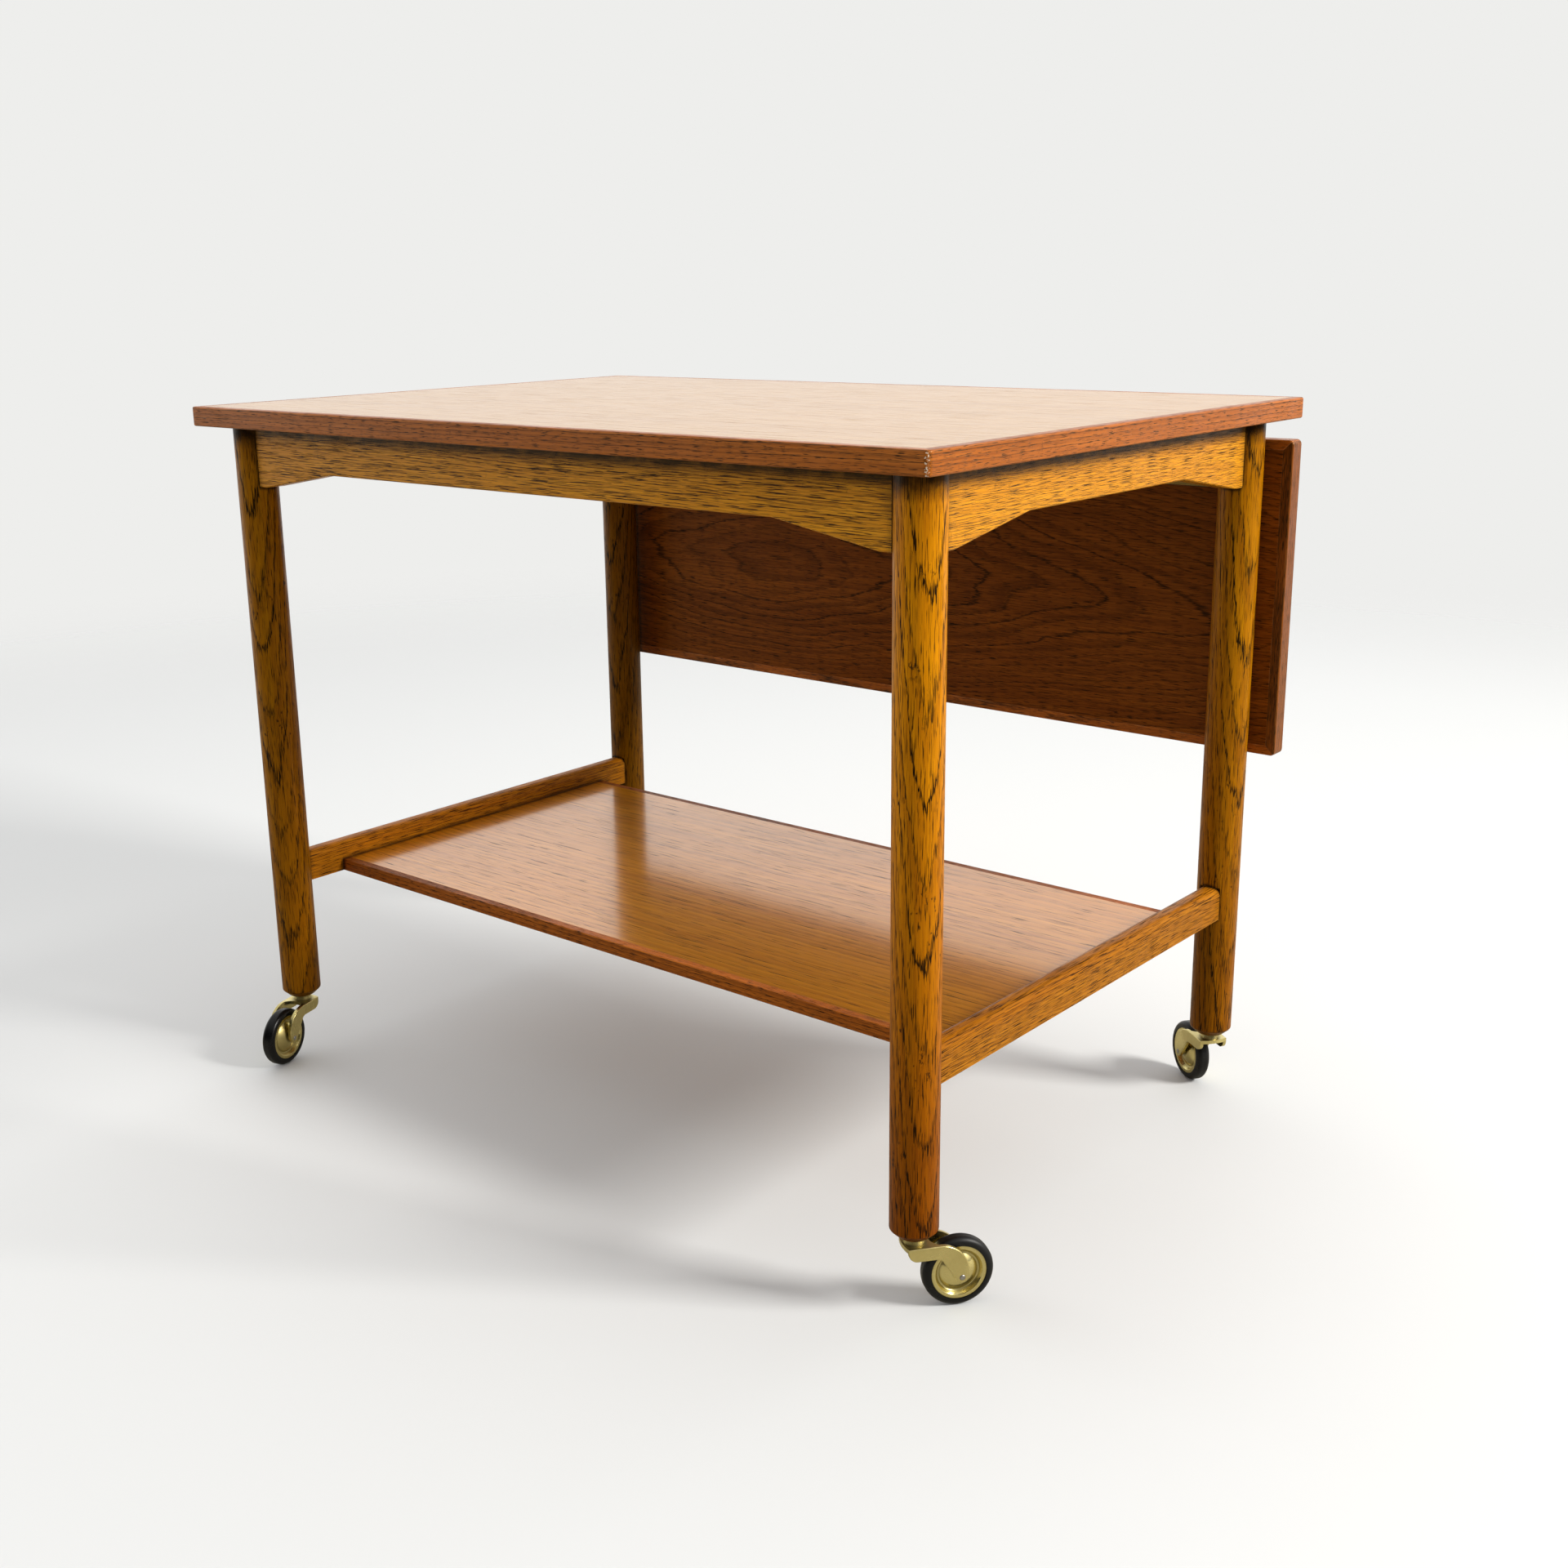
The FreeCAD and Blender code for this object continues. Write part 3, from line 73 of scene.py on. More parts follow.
class Graph:
    """The nodes of one material, world or shader group, with short ways to add and join them."""

    columns: int = 12
    spacing: tuple[int, int] = (220, -260)

    def __init__(self, tree: NodeTree) -> None:
        """Keeps the tree, and counts its nodes to give each a place of its own."""
        self.tree = tree
        self.count = 0

    def node(self, kind: str, *sources: Source, **named: object) -> Node:
        """Adds a node.

        Args:
            kind: The node's type.
            sources: What its first inputs get, in order.
            named: Its settings and what other inputs get, as feed takes them.

        Returns:
            The new node.
        """
        made = self.tree.nodes.new(kind)
        row, column = divmod(self.count, self.columns)
        made.location = (self.spacing[0] * column, self.spacing[1] * row)
        self.count += 1
        self.feed(made, *sources, **named)
        return made

    def feed(self, node: Node, *sources: Source, **named: object) -> None:
        """Sets a node up, and feeds its inputs with links or values.

        Args:
            node: The node.
            sources: What its first inputs get, in order. None leaves an input as it is.
            named: Its settings, and what other inputs get. An input's name has a capital, and
                underscores for its spaces.
        """
        for name in [name for name in named if name[0].islower()]:
            setattr(node, name, named.pop(name))
        pairs = list(zip(node.inputs, sources))
        pairs += [(node.inputs[name.replace("_", " ")], source) for name, source in named.items()]
        for socket, source in pairs:
            if isinstance(source, Socket):
                self.tree.links.new(source, socket)
            elif source is not None:
                socket.default_value = source

    def maths(self, operation: str, *sources: Source) -> Socket:
        """Adds a Math node and gives back its result."""
        return self.node("ShaderNodeMath", *sources, operation=operation).outputs[0]

    def times(self, *factors: Source) -> Socket:
        """Multiplies values together."""
        return reduce(lambda product, factor: self.maths("MULTIPLY", product, factor), factors)

    def vector(self, operation: str, *sources: Source, **named: Source) -> Socket:
        """Adds a Vector Math node and gives back its vector or its value."""
        made = self.node("ShaderNodeVectorMath", *sources, operation=operation, **named)
        return made.outputs["Value" if operation in ("LENGTH", "DOT_PRODUCT") else "Vector"]

    def parts(self, vector: Source) -> Sockets:
        """Splits a vector into its X, Y and Z."""
        return self.node("ShaderNodeSeparateXYZ", vector).outputs

    def noise(self, vector: Source, stretch: Source = None, scale: float = 1.0, detail: float = 2.0,
              roughness: float = 0.5, colour: bool = False) -> Socket:
        """Adds a Noise Texture.

        Args:
            vector: Where it is read.
            stretch: Its scale along each axis, where they differ.
            scale: Its scale.
            detail: How many finer layers it has.
            roughness: How strong the finer layers are.
            colour: Whether the three-channel output is wanted.

        Returns:
            Its factor, or its colour.
        """
        if stretch is not None:
            vector = self.vector("MULTIPLY", vector, stretch)
        made = self.node("ShaderNodeTexNoise", Vector=vector, Scale=scale, Detail=detail, Roughness=roughness)
        return made.outputs[1 if colour else 0]

    def span(self, value: Source, low: Source, high: Source, first: Source = 0.0, last: Source = 1.0,
             smooth: bool = True) -> Socket:
        """Maps a value from low..high to first..last, held at both ends."""
        way = "SMOOTHSTEP" if smooth else "LINEAR"
        return self.node("ShaderNodeMapRange", value, low, high, first, last,
                         interpolation_type=way).outputs[0]

    def mix(self, factor: Source, first: Source, second: Source, kind: str = "MIX") -> Socket:
        """Mixes two colours. Their inputs stand after five others, and their output is the third."""
        sources = (factor, *[None] * 5, first, second)
        return self.node("ShaderNodeMix", *sources, data_type="RGBA", blend_type=kind,
                         clamp_factor=True).outputs[2]

    def bump(self, height: Source, strength: float, distance: float) -> Socket:
        """Turns a height into a normal."""
        return self.node("ShaderNodeBump", Strength=strength, Distance=distance, Height=height).outputs[0]

    def use(self, effect: type["Effect"], **named: Source) -> Sockets:
        """Places an effect's shader group, fed by name, and gives back its outputs."""
        return self.node("ShaderNodeGroup", node_tree=effect.group(), **named).outputs


class Effect(ABC):
    """A shader group that several finishes share, built when one first uses it."""

    name: str
    inputs: dict[str, Union[float, Point]]
    outputs: tuple[str, ...] = ("Mask",)
    built: Optional[NodeTree] = None

    @classmethod
    @abstractmethod
    def fill(cls, graph: Graph, given: Sockets) -> Sequence[Socket]:
        """Adds the nodes between the group's inputs and its outputs.

        Args:
            graph: The group's nodes.
            given: Its inputs.

        Returns:
            What it puts out, in the order of its outputs.
        """

    @classmethod
    def group(cls) -> NodeTree:
        """Builds the group, unless it is there already.

        Returns:
            The group.
        """
        if cls.built is None:
            cls.built = bpy.data.node_groups.new(cls.name, "ShaderNodeTree")
            sockets = cls.built.interface
            for label, value in cls.inputs.items():
                kind = "NodeSocketVector" if isinstance(value, tuple) else "NodeSocketFloat"
                sockets.new_socket(label, in_out="INPUT", socket_type=kind).default_value = value
            for label in cls.outputs:
                sockets.new_socket(label, in_out="OUTPUT", socket_type="NodeSocketFloat")
            graph = Graph(cls.built)
            results = cls.fill(graph, graph.node("NodeGroupInput").outputs)
            graph.node("NodeGroupOutput", *results)
        return cls.built

    @staticmethod
    def seeded(graph: Graph, given: Sockets) -> Socket:
        """Moves the given place by the seed, so that no two boards match."""
        return graph.vector("ADD", given["Vector"], given["Seed"])


class WornEdges(Effect):
    """A mask of edges that hands and knocks have rubbed."""

    name = "Worn edges"
    inputs = {"Vector": ORIGIN, "Radius": 0.0015, "Amount": 0.5, "Seed": 0.0}
    turned: Span = (0.995, 0.86)
    rubbed: Span = (0.46, 0.62)
    least_rub: float = 0.12

    @classmethod
    def fill(cls, graph: Graph, given: Sockets) -> Sequence[Socket]:
        """Compares a rounded normal with the true one, and breaks the edge up with noise.

        Args:
            graph: The group's nodes.
            given: Its inputs.

        Returns:
            The mask.
        """
        rounded = graph.node("ShaderNodeBevel", samples=4, Radius=given["Radius"]).outputs[0]
        true = graph.node("ShaderNodeNewGeometry").outputs["Normal"]
        edge = graph.span(graph.vector("DOT_PRODUCT", rounded, true), *cls.turned)
        rub = graph.noise(cls.seeded(graph, given), scale=70.0, detail=4.0)
        patchy = graph.span(rub, *cls.rubbed, cls.least_rub, 1.0)
        return [graph.times(edge, patchy, given["Amount"])]


class CornerGrimeAndShade(Effect):
    """A mask of the soil and old polish that stay where two pieces meet, and of the shade that falls there,
    painted in as dark colour.
    """

    name = "Corner grime and painted shade"
    inputs = {"Vector": ORIGIN, "Reach": 0.004, "Amount": 0.8, "Seed": 0.0}
    openness: Span = (0.96, 0.72)
    spotted: Span = (0.3, 0.6)
    least_grime_and_shade: float = 0.8

    @classmethod
    def fill(cls, graph: Graph, given: Sockets) -> Sequence[Socket]:
        """Reads how closed in the surface is, where soil gathers and shade falls, and breaks it up with
        noise.

        Args:
            graph: The group's nodes.
            given: Its inputs.

        Returns:
            The mask.
        """
        # Closed-in places get soiling and painted shade alike.
        near = graph.node("ShaderNodeAmbientOcclusion", samples=4, Distance=given["Reach"])
        closed = graph.span(near.outputs["AO"], *cls.openness)
        spots = graph.noise(cls.seeded(graph, given), scale=90.0, detail=3.0)
        patchy = graph.span(spots, *cls.spotted, cls.least_grime_and_shade, 1.0)
        return [graph.times(closed, patchy, given["Amount"])]


class Smudges(Effect):
    """Values for dulled and wiped places, for fine scratches and for small dark knocks."""

    name = "Smudges, scratches and knocks"
    inputs = {"Vector": ORIGIN, "Seed": 0.0}
    outputs = ("Smudges", "Scratches", "Knocks")
    wiped: Span = (0.35, 0.68)
    scratch_ways: tuple[Point, Point] = ((30.0, 900.0, 900.0), (900.0, 40.0, 700.0))
    scratched: Span = (0.69, 0.76)
    knock_shape: Point = (260.0, 260.0, 150.0)
    knocked: Span = (0.60, 0.68)
    knock_places: Span = (0.56, 0.66)

    @classmethod
    def fill(cls, graph: Graph, given: Sockets) -> Sequence[Socket]:
        """Layers soft clouds, thin lines in two directions, and a few ragged spots.

        Args:
            graph: The group's nodes.
            given: Its inputs.

        Returns:
            The smudges, the scratches and the knocks.
        """
        where = cls.seeded(graph, given)
        clouds = graph.span(graph.noise(where, scale=28.0, detail=4.0, roughness=0.6), *cls.wiped)
        lines = [graph.span(graph.noise(where, way, detail=1.0), *cls.scratched) for way in cls.scratch_ways]
        spots = graph.span(graph.noise(where, cls.knock_shape, detail=3.0, roughness=0.6), *cls.knocked)
        seldom = graph.span(graph.noise(where, scale=24.0, detail=1.0), *cls.knock_places)
        return [clouds, graph.maths("MAXIMUM", *lines), graph.times(spots, seldom)]


class CornerChips(Effect):
    """A mask of small chips that show bare wood around one upright corner."""

    name = "Corner chips"
    inputs = {"Vector": ORIGIN, "Corner": ORIGIN, "Reach": 0.0017}
    ragged: Span = (0.4, 0.64)
    reaches: Span = (0.1, 1.4)
    rim: Span = (1.0, 0.7)

    @classmethod
    def fill(cls, graph: Graph, given: Sockets) -> Sequence[Socket]:
        """Measures how near the corner's line is, and breaks the mark up with noise.

        Args:
            graph: The group's nodes.
            given: Its inputs.

        Returns:
            The mask.
        """
        away = graph.vector("SUBTRACT", given["Vector"], given["Corner"])
        near = graph.vector("LENGTH", graph.vector("MULTIPLY", away, ACROSS))
        ragged = graph.noise(given["Vector"], scale=620.0, detail=3.0, roughness=0.6)
        reach = graph.times(given["Reach"], graph.span(ragged, *cls.ragged, *cls.reaches))
        return [graph.span(graph.maths("DIVIDE", near, reach), *cls.rim)]


class Growth(Effect):
    """Growth rings and fibres of a board, with the heart of the tree along local Z."""

    name = "Growth of a board"
    inputs = {"Vector": ORIGIN, "Ring spacing": 0.003, "Taper": 0.0, "Bulge": 0.0, "Reach": 0.04,
              "Wobble": 0.01, "Raggedness": 0.3, "Unevenness": 0.5, "Seed": 0.0}
    outputs = ("Rings", "Years", "Streaks", "Fibres", "Patches")
    middle: Point = (0.5, 0.5, 0.5)
    sway: Point = (9.0, 9.0, 3.0)
    fray: Point = (1300.0, 1300.0, 55.0)
    swell: Point = (60.0, 60.0, 12.0)
    streak_shape: Point = (85.0, 85.0, 1.6)
    streaks: Span = (0.3, 0.7)
    fibre_shape: Point = (700.0, 700.0, 12.0)
    fibres: Span = (0.32, 0.68)
    patch_shape: Point = (14.0, 14.0, 5.0)
    patches: Span = (0.33, 0.67)

    @classmethod
    def fill(cls, graph: Graph, given: Sockets) -> Sequence[Socket]:
        """Bends space a little, counts rings from the heart, and lays fibres along it.

        Args:
            graph: The group's nodes.
            given: Its inputs.

        Returns:
            The place within a ring, the ring's own tone, and the streaks, fibres and patches.
        """
        seeded = cls.seeded(graph, given)
        slow = graph.vector("SUBTRACT", graph.noise(seeded, cls.sway, colour=True), cls.middle)
        bent = graph.vector("ADD", given["Vector"], graph.vector("SCALE", slow, Scale=given["Wobble"]))
        across = graph.vector("LENGTH", graph.vector("MULTIPLY", bent, ACROSS))
        along = graph.parts(bent)["Z"]
        reach = given["Reach"]
        bowed = graph.maths("SQRT", graph.maths("MULTIPLY_ADD", along, along, graph.times(reach, reach)))
        turns = graph.maths("MULTIPLY_ADD", along, given["Taper"], across)
        turns = graph.maths("MULTIPLY_ADD", graph.maths("SUBTRACT", bowed, reach), given["Bulge"], turns)
        turns = graph.maths("DIVIDE", turns, given["Ring spacing"])
        turns = graph.maths("MULTIPLY_ADD", graph.noise(seeded, cls.fray), given["Raggedness"], turns)
        turns = graph.maths("MULTIPLY_ADD", graph.noise(seeded, cls.swell), given["Unevenness"], turns)
        year = graph.node("ShaderNodeTexWhiteNoise", noise_dimensions="1D", W=graph.maths("FLOOR", turns))
        broad = graph.noise(seeded, cls.streak_shape, detail=6.0, roughness=0.78)
        fine = graph.noise(seeded, cls.fibre_shape, detail=3.0, roughness=0.65)
        clouds = graph.noise(seeded, cls.patch_shape)
        return [graph.maths("FRACT", turns), year.outputs["Value"], graph.span(broad, *cls.streaks),
                graph.span(fine, *cls.fibres), graph.span(clouds, *cls.patches)]


class Pores(Effect):
    """A mask of open pores, which gather at the start of each ring."""

    name = "Open pores"
    inputs = {"Vector": ORIGIN, "Rings": 0.5, "Years": 1.0, "Band": 0.4, "Width": 0.0009, "Length": 0.01,
              "Threshold": 0.62, "Gathering": 1.0, "Seed": 0.0}
    outputs = ("Pores", "Ring starts")
    first_share: float = 0.06
    full_share: float = 0.10
    weakest_year: float = 0.35
    lowering: float = -0.2
    edge: float = 0.06

    @classmethod
    def fill(cls, graph: Graph, given: Sockets) -> Sequence[Socket]:
        """Stretches fine noise along the board, and lets more of it through near a ring's start.

        Args:
            graph: The group's nodes.
            given: Its inputs.

        Returns:
            The pores, and how near a ring's start is.
        """
        fine, coarse = (graph.maths("DIVIDE", 1.0, given[size]) for size in ("Width", "Length"))
        shape = graph.node("ShaderNodeCombineXYZ", fine, fine, coarse).outputs[0]
        dashes = graph.noise(cls.seeded(graph, given), shape, detail=1.0)
        start = graph.times(graph.span(given["Rings"], 0.0, cls.first_share),
                            graph.span(given["Rings"], given["Band"], cls.full_share),
                            graph.span(given["Years"], 0.0, 1.0, cls.weakest_year, 1.0, smooth=False))
        gathered = graph.times(start, given["Gathering"])
        lowered = graph.maths("MULTIPLY_ADD", gathered, cls.lowering, given["Threshold"])
        return [graph.span(dashes, lowered, graph.maths("ADD", lowered, cls.edge)), start]


class Grain(Enum):
    """The way a board's grain runs. The value turns that way onto local Z."""

    ALONG_X = (0.0, -math.pi / 2, 0.0)
    ALONG_Y = (math.pi / 2, 0.0, 0.0)
    ALONG_Z = (0.0, 0.0, 0.0)


def new_material(name: str) -> tuple[Material, Graph, Node, Socket]:
    """Starts a material with a Principled shader.

    Args:
        name: The material's name.

    Returns:
        The material, its graph, its shader, and the place on the cart.
    """
    material = bpy.data.materials.new(name)
    material.use_nodes = True
    material.node_tree.nodes.clear()
    graph = Graph(material.node_tree)
    shader = graph.node("ShaderNodeBsdfPrincipled")
    graph.node("ShaderNodeOutputMaterial", Surface=shader.outputs[0])
    return material, graph, shader, graph.node("ShaderNodeTexCoord").outputs["Object"]


@dataclass(frozen=True)
class Board:
    """How one board was sawn from its tree, and how it is toned and marked.

    Attributes:
        grain: The way its grain runs.
        heart: A point on the line of the tree's heart, in metres.
        seed: Sets this board's own pattern.
        taper: How much the rings widen along the grain.
        bulge: How much they bow away from the heart's point, which closes them into ovals.
        reach: How far from that point the bow turns into a straight slope, in metres.
        shade: Darkens or lightens the board: its own tone, and painted light and shade where light falls on
            it unevenly.
        foot: How dark the board is painted near the floor, against the rest, as shade that falls there.
        outer: The Y past which the board wears another veneer, in metres, and that veneer.
        corners: Points on upright corners that are chipped, in metres.
    """

    grain: Grain
    heart: Point
    seed: float
    taper: float = 0.0
    bulge: float = 0.0
    reach: float = 0.04
    shade: float = 1.0
    foot: float = 1.0
    outer: Optional[tuple[float, "WoodFinish"]] = None
    corners: Sequence[Point] = ()


@dataclass(frozen=True)
class WoodFinish:
    """A kind of wood with its stain and lacquer."""

    name: str
    pale: Colour
    middle: Colour
    dark: Colour
    pore: Colour
    worn: Colour
    # Dark colour of knocks and corner soiling, and of the shade painted into corners and under the top.
    grime_and_shade: Colour = paint(34, 18, 8)
    chip: Colour = paint(236, 214, 188)
    ring_spacing: float = 0.003
    ring_strength: float = 0.5
    late_wood: Span = (0.35, 1.0)
    line_strength: float = 0.6
    band: float = 0.4
    raggedness: float = 0.3
    unevenness: float = 0.6
    streak_strength: float = 0.6
    fibre_strength: float = 0.35
    patch_strength: float = 0.3
    wobble: float = 0.010
    pore_width: float = 0.0009
    pore_length: float = 0.010
    pore_threshold: float = 0.62
    pore_strength: float = 0.85
    gathering: float = 1.0
    roughness: float = 0.42
    polished: float = 0.04
    dulled: float = 0.07
    pore_roughness: float = 0.15
    scratch_roughness: float = 0.08
    handling: float = 1.0
    specular: float = 0.4
    sheen_tint: Colour = (1.0, 0.70, 0.25, 1.0)
    fibre_sheen: float = 0.0
    coat: float = 0.3
    coat_in_pores: float = 0.45
    coat_roughness: float = 0.22
    coat_ior: float = 1.5
    relief: float = 0.35
    pore_depth: float = 0.0003
    fibre_relief: float = 0.3
    wear: float = 0.45
    knocks: float = 0.3
    # The corner mask soils corners and also paints the shade that falls there; under the top it paints the
    # top's shadow.
    dirt_and_shade: float = 0.9
    grime_and_shade_reach: float = 0.006
    painted_shadow_reach_under_top: float = 0.006
    # Heights on the cart, in metres, between which each effect comes in: the painted shadow under the top and
    # the painted shade near the floor.
    under_top: Span = (0.535, 0.555)
    foot_heights: Span = (0.05, 0.40)
    foot_powers: Point = (0.8, 1.15, 1.3)

    def stain(self, graph: Graph, growth: Sockets, pores: Sockets) -> Socket:
        """Colours the bare wood from its growth and its pores.

        Args:
            graph: The material's nodes.
            growth: What the growth group puts out.
            pores: What the pore group puts out.

        Returns:
            The wood's colour.
        """
        late = graph.times(graph.span(growth["Rings"], *self.late_wood), growth["Years"])
        colour = graph.mix(graph.times(growth["Streaks"], self.streak_strength), self.pale, self.middle)
        for mask, strength, tone in ((growth["Patches"], self.patch_strength, self.middle),
                                     (late, self.ring_strength, self.dark),
                                     (growth["Fibres"], self.fibre_strength, self.dark),
                                     (pores["Ring starts"], self.line_strength, self.pore),
                                     (pores["Pores"], self.pore_strength, self.pore)):
            colour = graph.mix(graph.times(mask, strength), colour, tone)
        return colour

    def age(self, graph: Graph, spot: Socket, knocks: Socket, colour: Socket, board: Board) -> Socket:
        """Adds the knocks, rubbed edges and chips of long use, soiled corners with the shade there painted
        in, and a painted shadow under the top; then tones the board, partly with painted light and shade, and
        paints shade near the floor.

        Args:
            graph: The material's nodes.
            spot: The place on the cart.
            knocks: The mask of small dark knocks.
            colour: The wood's colour.
            board: The board.

        Returns:
            The aged colour.
        """
        height = graph.parts(spot)["Z"]
        # Under the top the corner mask reaches further, to paint the top's shadow on legs and aprons.
        reach = graph.span(height, *self.under_top, self.grime_and_shade_reach, self.painted_shadow_reach_under_top)
        dirt_and_shade = graph.use(CornerGrimeAndShade, Vector=spot, Reach=reach, Amount=self.dirt_and_shade, Seed=board.seed)["Mask"]
        worn = graph.use(WornEdges, Vector=spot, Amount=self.wear, Seed=board.seed)["Mask"]
        colour = graph.mix(graph.times(knocks, self.knocks), colour, self.grime_and_shade)
        # Corners get soiling and painted shade in one dark colour.
        colour = graph.mix(dirt_and_shade, colour, self.grime_and_shade)
        colour = graph.mix(worn, colour, self.worn)
        for corner in board.corners:
            chips = graph.use(CornerChips, Vector=spot, Corner=corner)["Mask"]
            colour = graph.mix(chips, colour, self.chip)
        # Painted shade near the floor: darker, and redder, towards the bottom.
        if board.foot != 1.0:
            low = graph.span(height, *self.foot_heights, board.foot, 1.0, smooth=False)
            channels = [graph.maths("POWER", low, power) for power in self.foot_powers]
            floor_shade_tone = graph.node("ShaderNodeCombineColor", *channels).outputs[0]
            colour = graph.mix(1.0, colour, floor_shade_tone, "MULTIPLY")
        # Its own tone, and for some boards painted light and shade.
        if board.shade != 1.0:
            colour = graph.mix(1.0, colour, (*[board.shade] * 3, 1.0), "MULTIPLY")
        return colour

    def board(self, board: Board) -> Material:
        """Makes the material of one board.

        Args:
            board: How it was sawn, toned and marked.

        Returns:
            The material.
        """
        material, graph, shader, spot = new_material(self.name)
        moved = graph.vector("SUBTRACT", spot, board.heart)
        where = graph.node("ShaderNodeVectorRotate", rotation_type="EULER_XYZ", Vector=moved,
                           Rotation=board.grain.value).outputs[0]
        growth = graph.use(Growth, Vector=where, Ring_spacing=self.ring_spacing, Taper=board.taper,
                           Bulge=board.bulge, Reach=board.reach, Wobble=self.wobble,
                           Raggedness=self.raggedness, Unevenness=self.unevenness, Seed=board.seed)
        pores = graph.use(Pores, Vector=where, Rings=growth["Rings"], Years=growth["Years"], Band=self.band,
                          Width=self.pore_width, Length=self.pore_length, Threshold=self.pore_threshold,
                          Gathering=self.gathering, Seed=board.seed)
        smudges = graph.use(Smudges, Vector=spot, Seed=board.seed)

        colour = self.stain(graph, growth, pores)
        if board.outer is not None:
            edge, veneer = board.outer
            outside = graph.maths("GREATER_THAN", graph.parts(spot)["Y"], edge)
            colour = graph.mix(outside, colour, veneer.stain(graph, growth, pores))
        colour = self.age(graph, spot, smudges["Knocks"], colour, board)

        dulled = graph.span(smudges["Smudges"], 0.0, 1.0, self.roughness - self.polished * self.handling,
                            self.roughness + self.dulled * self.handling)
        dulled = graph.maths("MULTIPLY_ADD", pores["Pores"], self.pore_roughness, dulled)
        dulled = graph.maths("MULTIPLY_ADD", smudges["Scratches"], self.scratch_roughness, dulled)
        raised = graph.times(growth["Fibres"], self.fibre_relief)
        sunk = graph.maths("MULTIPLY_ADD", pores["Pores"], -1.0, raised)
        lacquer = graph.span(pores["Pores"], 0.0, 1.0, self.coat, self.coat_in_pores * self.coat,
                             smooth=False)
        graph.feed(shader, Base_Color=colour, Roughness=dulled, Metallic=self.fibre_sheen,
                   Normal=graph.bump(sunk, self.relief, self.pore_depth), Coat_Weight=lacquer,
                   Specular_IOR_Level=self.specular, Specular_Tint=self.sheen_tint,
                   Coat_Roughness=self.coat_roughness, Coat_IOR=self.coat_ior)
        return material


@dataclass(frozen=True)
class MetalFinish:
    """Plated or bare metal, with tarnish, smudges and fine scratches."""

    name: str
    colour: Colour
    tarnish: Colour
    worn: Colour
    # Dark colour of corner soiling, and of the shade painted into corners.
    grime_and_shade: Colour = paint(45, 34, 20)
    roughness: float = 0.24
    polished: float = 0.06
    dulled: float = 0.12
    scratch_roughness: float = 0.15
    grime_roughness: float = 0.3
    tarnish_strength: float = 0.5
    specked: Span = (0.62, 0.72)
    speck_strength: float = 0.15
    wear: float = 0.3
    worn_width: float = 0.0008
    dirt_and_shade: float = 0.5
    grime_and_shade_reach: float = 0.003
    relief: float = 0.12
    depth: float = 0.0001

    def part(self, seed: float) -> Material:
        """Makes the material of one metal part.

        Args:
            seed: Sets its own pattern.

        Returns:
            The material.
        """
        material, graph, shader, spot = new_material(self.name)
        smudges = graph.use(Smudges, Vector=spot, Seed=seed)
        worn = graph.use(WornEdges, Vector=spot, Radius=self.worn_width, Amount=self.wear, Seed=seed)["Mask"]
        # Corners get soiling and painted shade.
        dirt_and_shade = graph.use(CornerGrimeAndShade, Vector=spot, Reach=self.grime_and_shade_reach, Amount=self.dirt_and_shade, Seed=seed)["Mask"]
        specks = graph.noise(graph.vector("ADD", spot, (seed, seed, seed)), scale=900.0, detail=3.0)
        specks = graph.times(graph.span(specks, *self.specked), self.speck_strength)
        tarnish = graph.times(smudges["Smudges"], self.tarnish_strength)
        colour: Source = self.colour
        for mask, tone in ((tarnish, self.tarnish), (specks, self.tarnish), (dirt_and_shade, self.grime_and_shade),
                           (worn, self.worn)):
            colour = graph.mix(mask, colour, tone)
        dulled = graph.span(smudges["Smudges"], 0.0, 1.0, self.roughness - self.polished,
                            self.roughness + self.dulled)
        dulled = graph.maths("MULTIPLY_ADD", smudges["Scratches"], self.scratch_roughness, dulled)
        dulled = graph.maths("MULTIPLY_ADD", dirt_and_shade, self.grime_roughness, dulled)
        peel = graph.maths("SUBTRACT", graph.noise(spot, scale=420.0, detail=3.0), smudges["Scratches"])
        graph.feed(shader, Base_Color=colour, Metallic=1.0, Roughness=dulled,
                   Normal=graph.bump(peel, self.relief, self.depth))
        return material


@dataclass(frozen=True)
class RubberFinish:
    """Black moulded rubber, dusty where it rolls."""

    name: str = "black_rubber"
    colour: Colour = paint(6, 6, 7)
    dust: Colour = paint(84, 84, 82)
    gritty: Span = (0.55, 0.7)
    dust_strength: float = 0.05
    roughness: float = 0.3
    polished: float = 0.06
    dulled: float = 0.14
    specular: float = 0.3
    relief: float = 0.15
    depth: float = 0.0001

    def part(self, seed: float) -> Material:
        """Makes the material of one tyre.

        Args:
            seed: Sets its own pattern.

        Returns:
            The material.
        """
        material, graph, shader, spot = new_material(self.name)
        smudges = graph.use(Smudges, Vector=spot, Seed=seed)["Smudges"]
        grit = graph.noise(graph.vector("ADD", spot, (seed, seed, seed)), scale=1500.0, detail=3.0)
        dusty = graph.times(graph.maths("ADD", smudges, graph.span(grit, *self.gritty)), self.dust_strength)
        dulled = graph.span(smudges, 0.0, 1.0, self.roughness - self.polished, self.roughness + self.dulled)
        peel = graph.noise(spot, scale=1800.0)
        graph.feed(shader, Base_Color=graph.mix(dusty, self.colour, self.dust), Roughness=dulled,
                   Specular_IOR_Level=self.specular, Normal=graph.bump(peel, self.relief, self.depth))
        return material


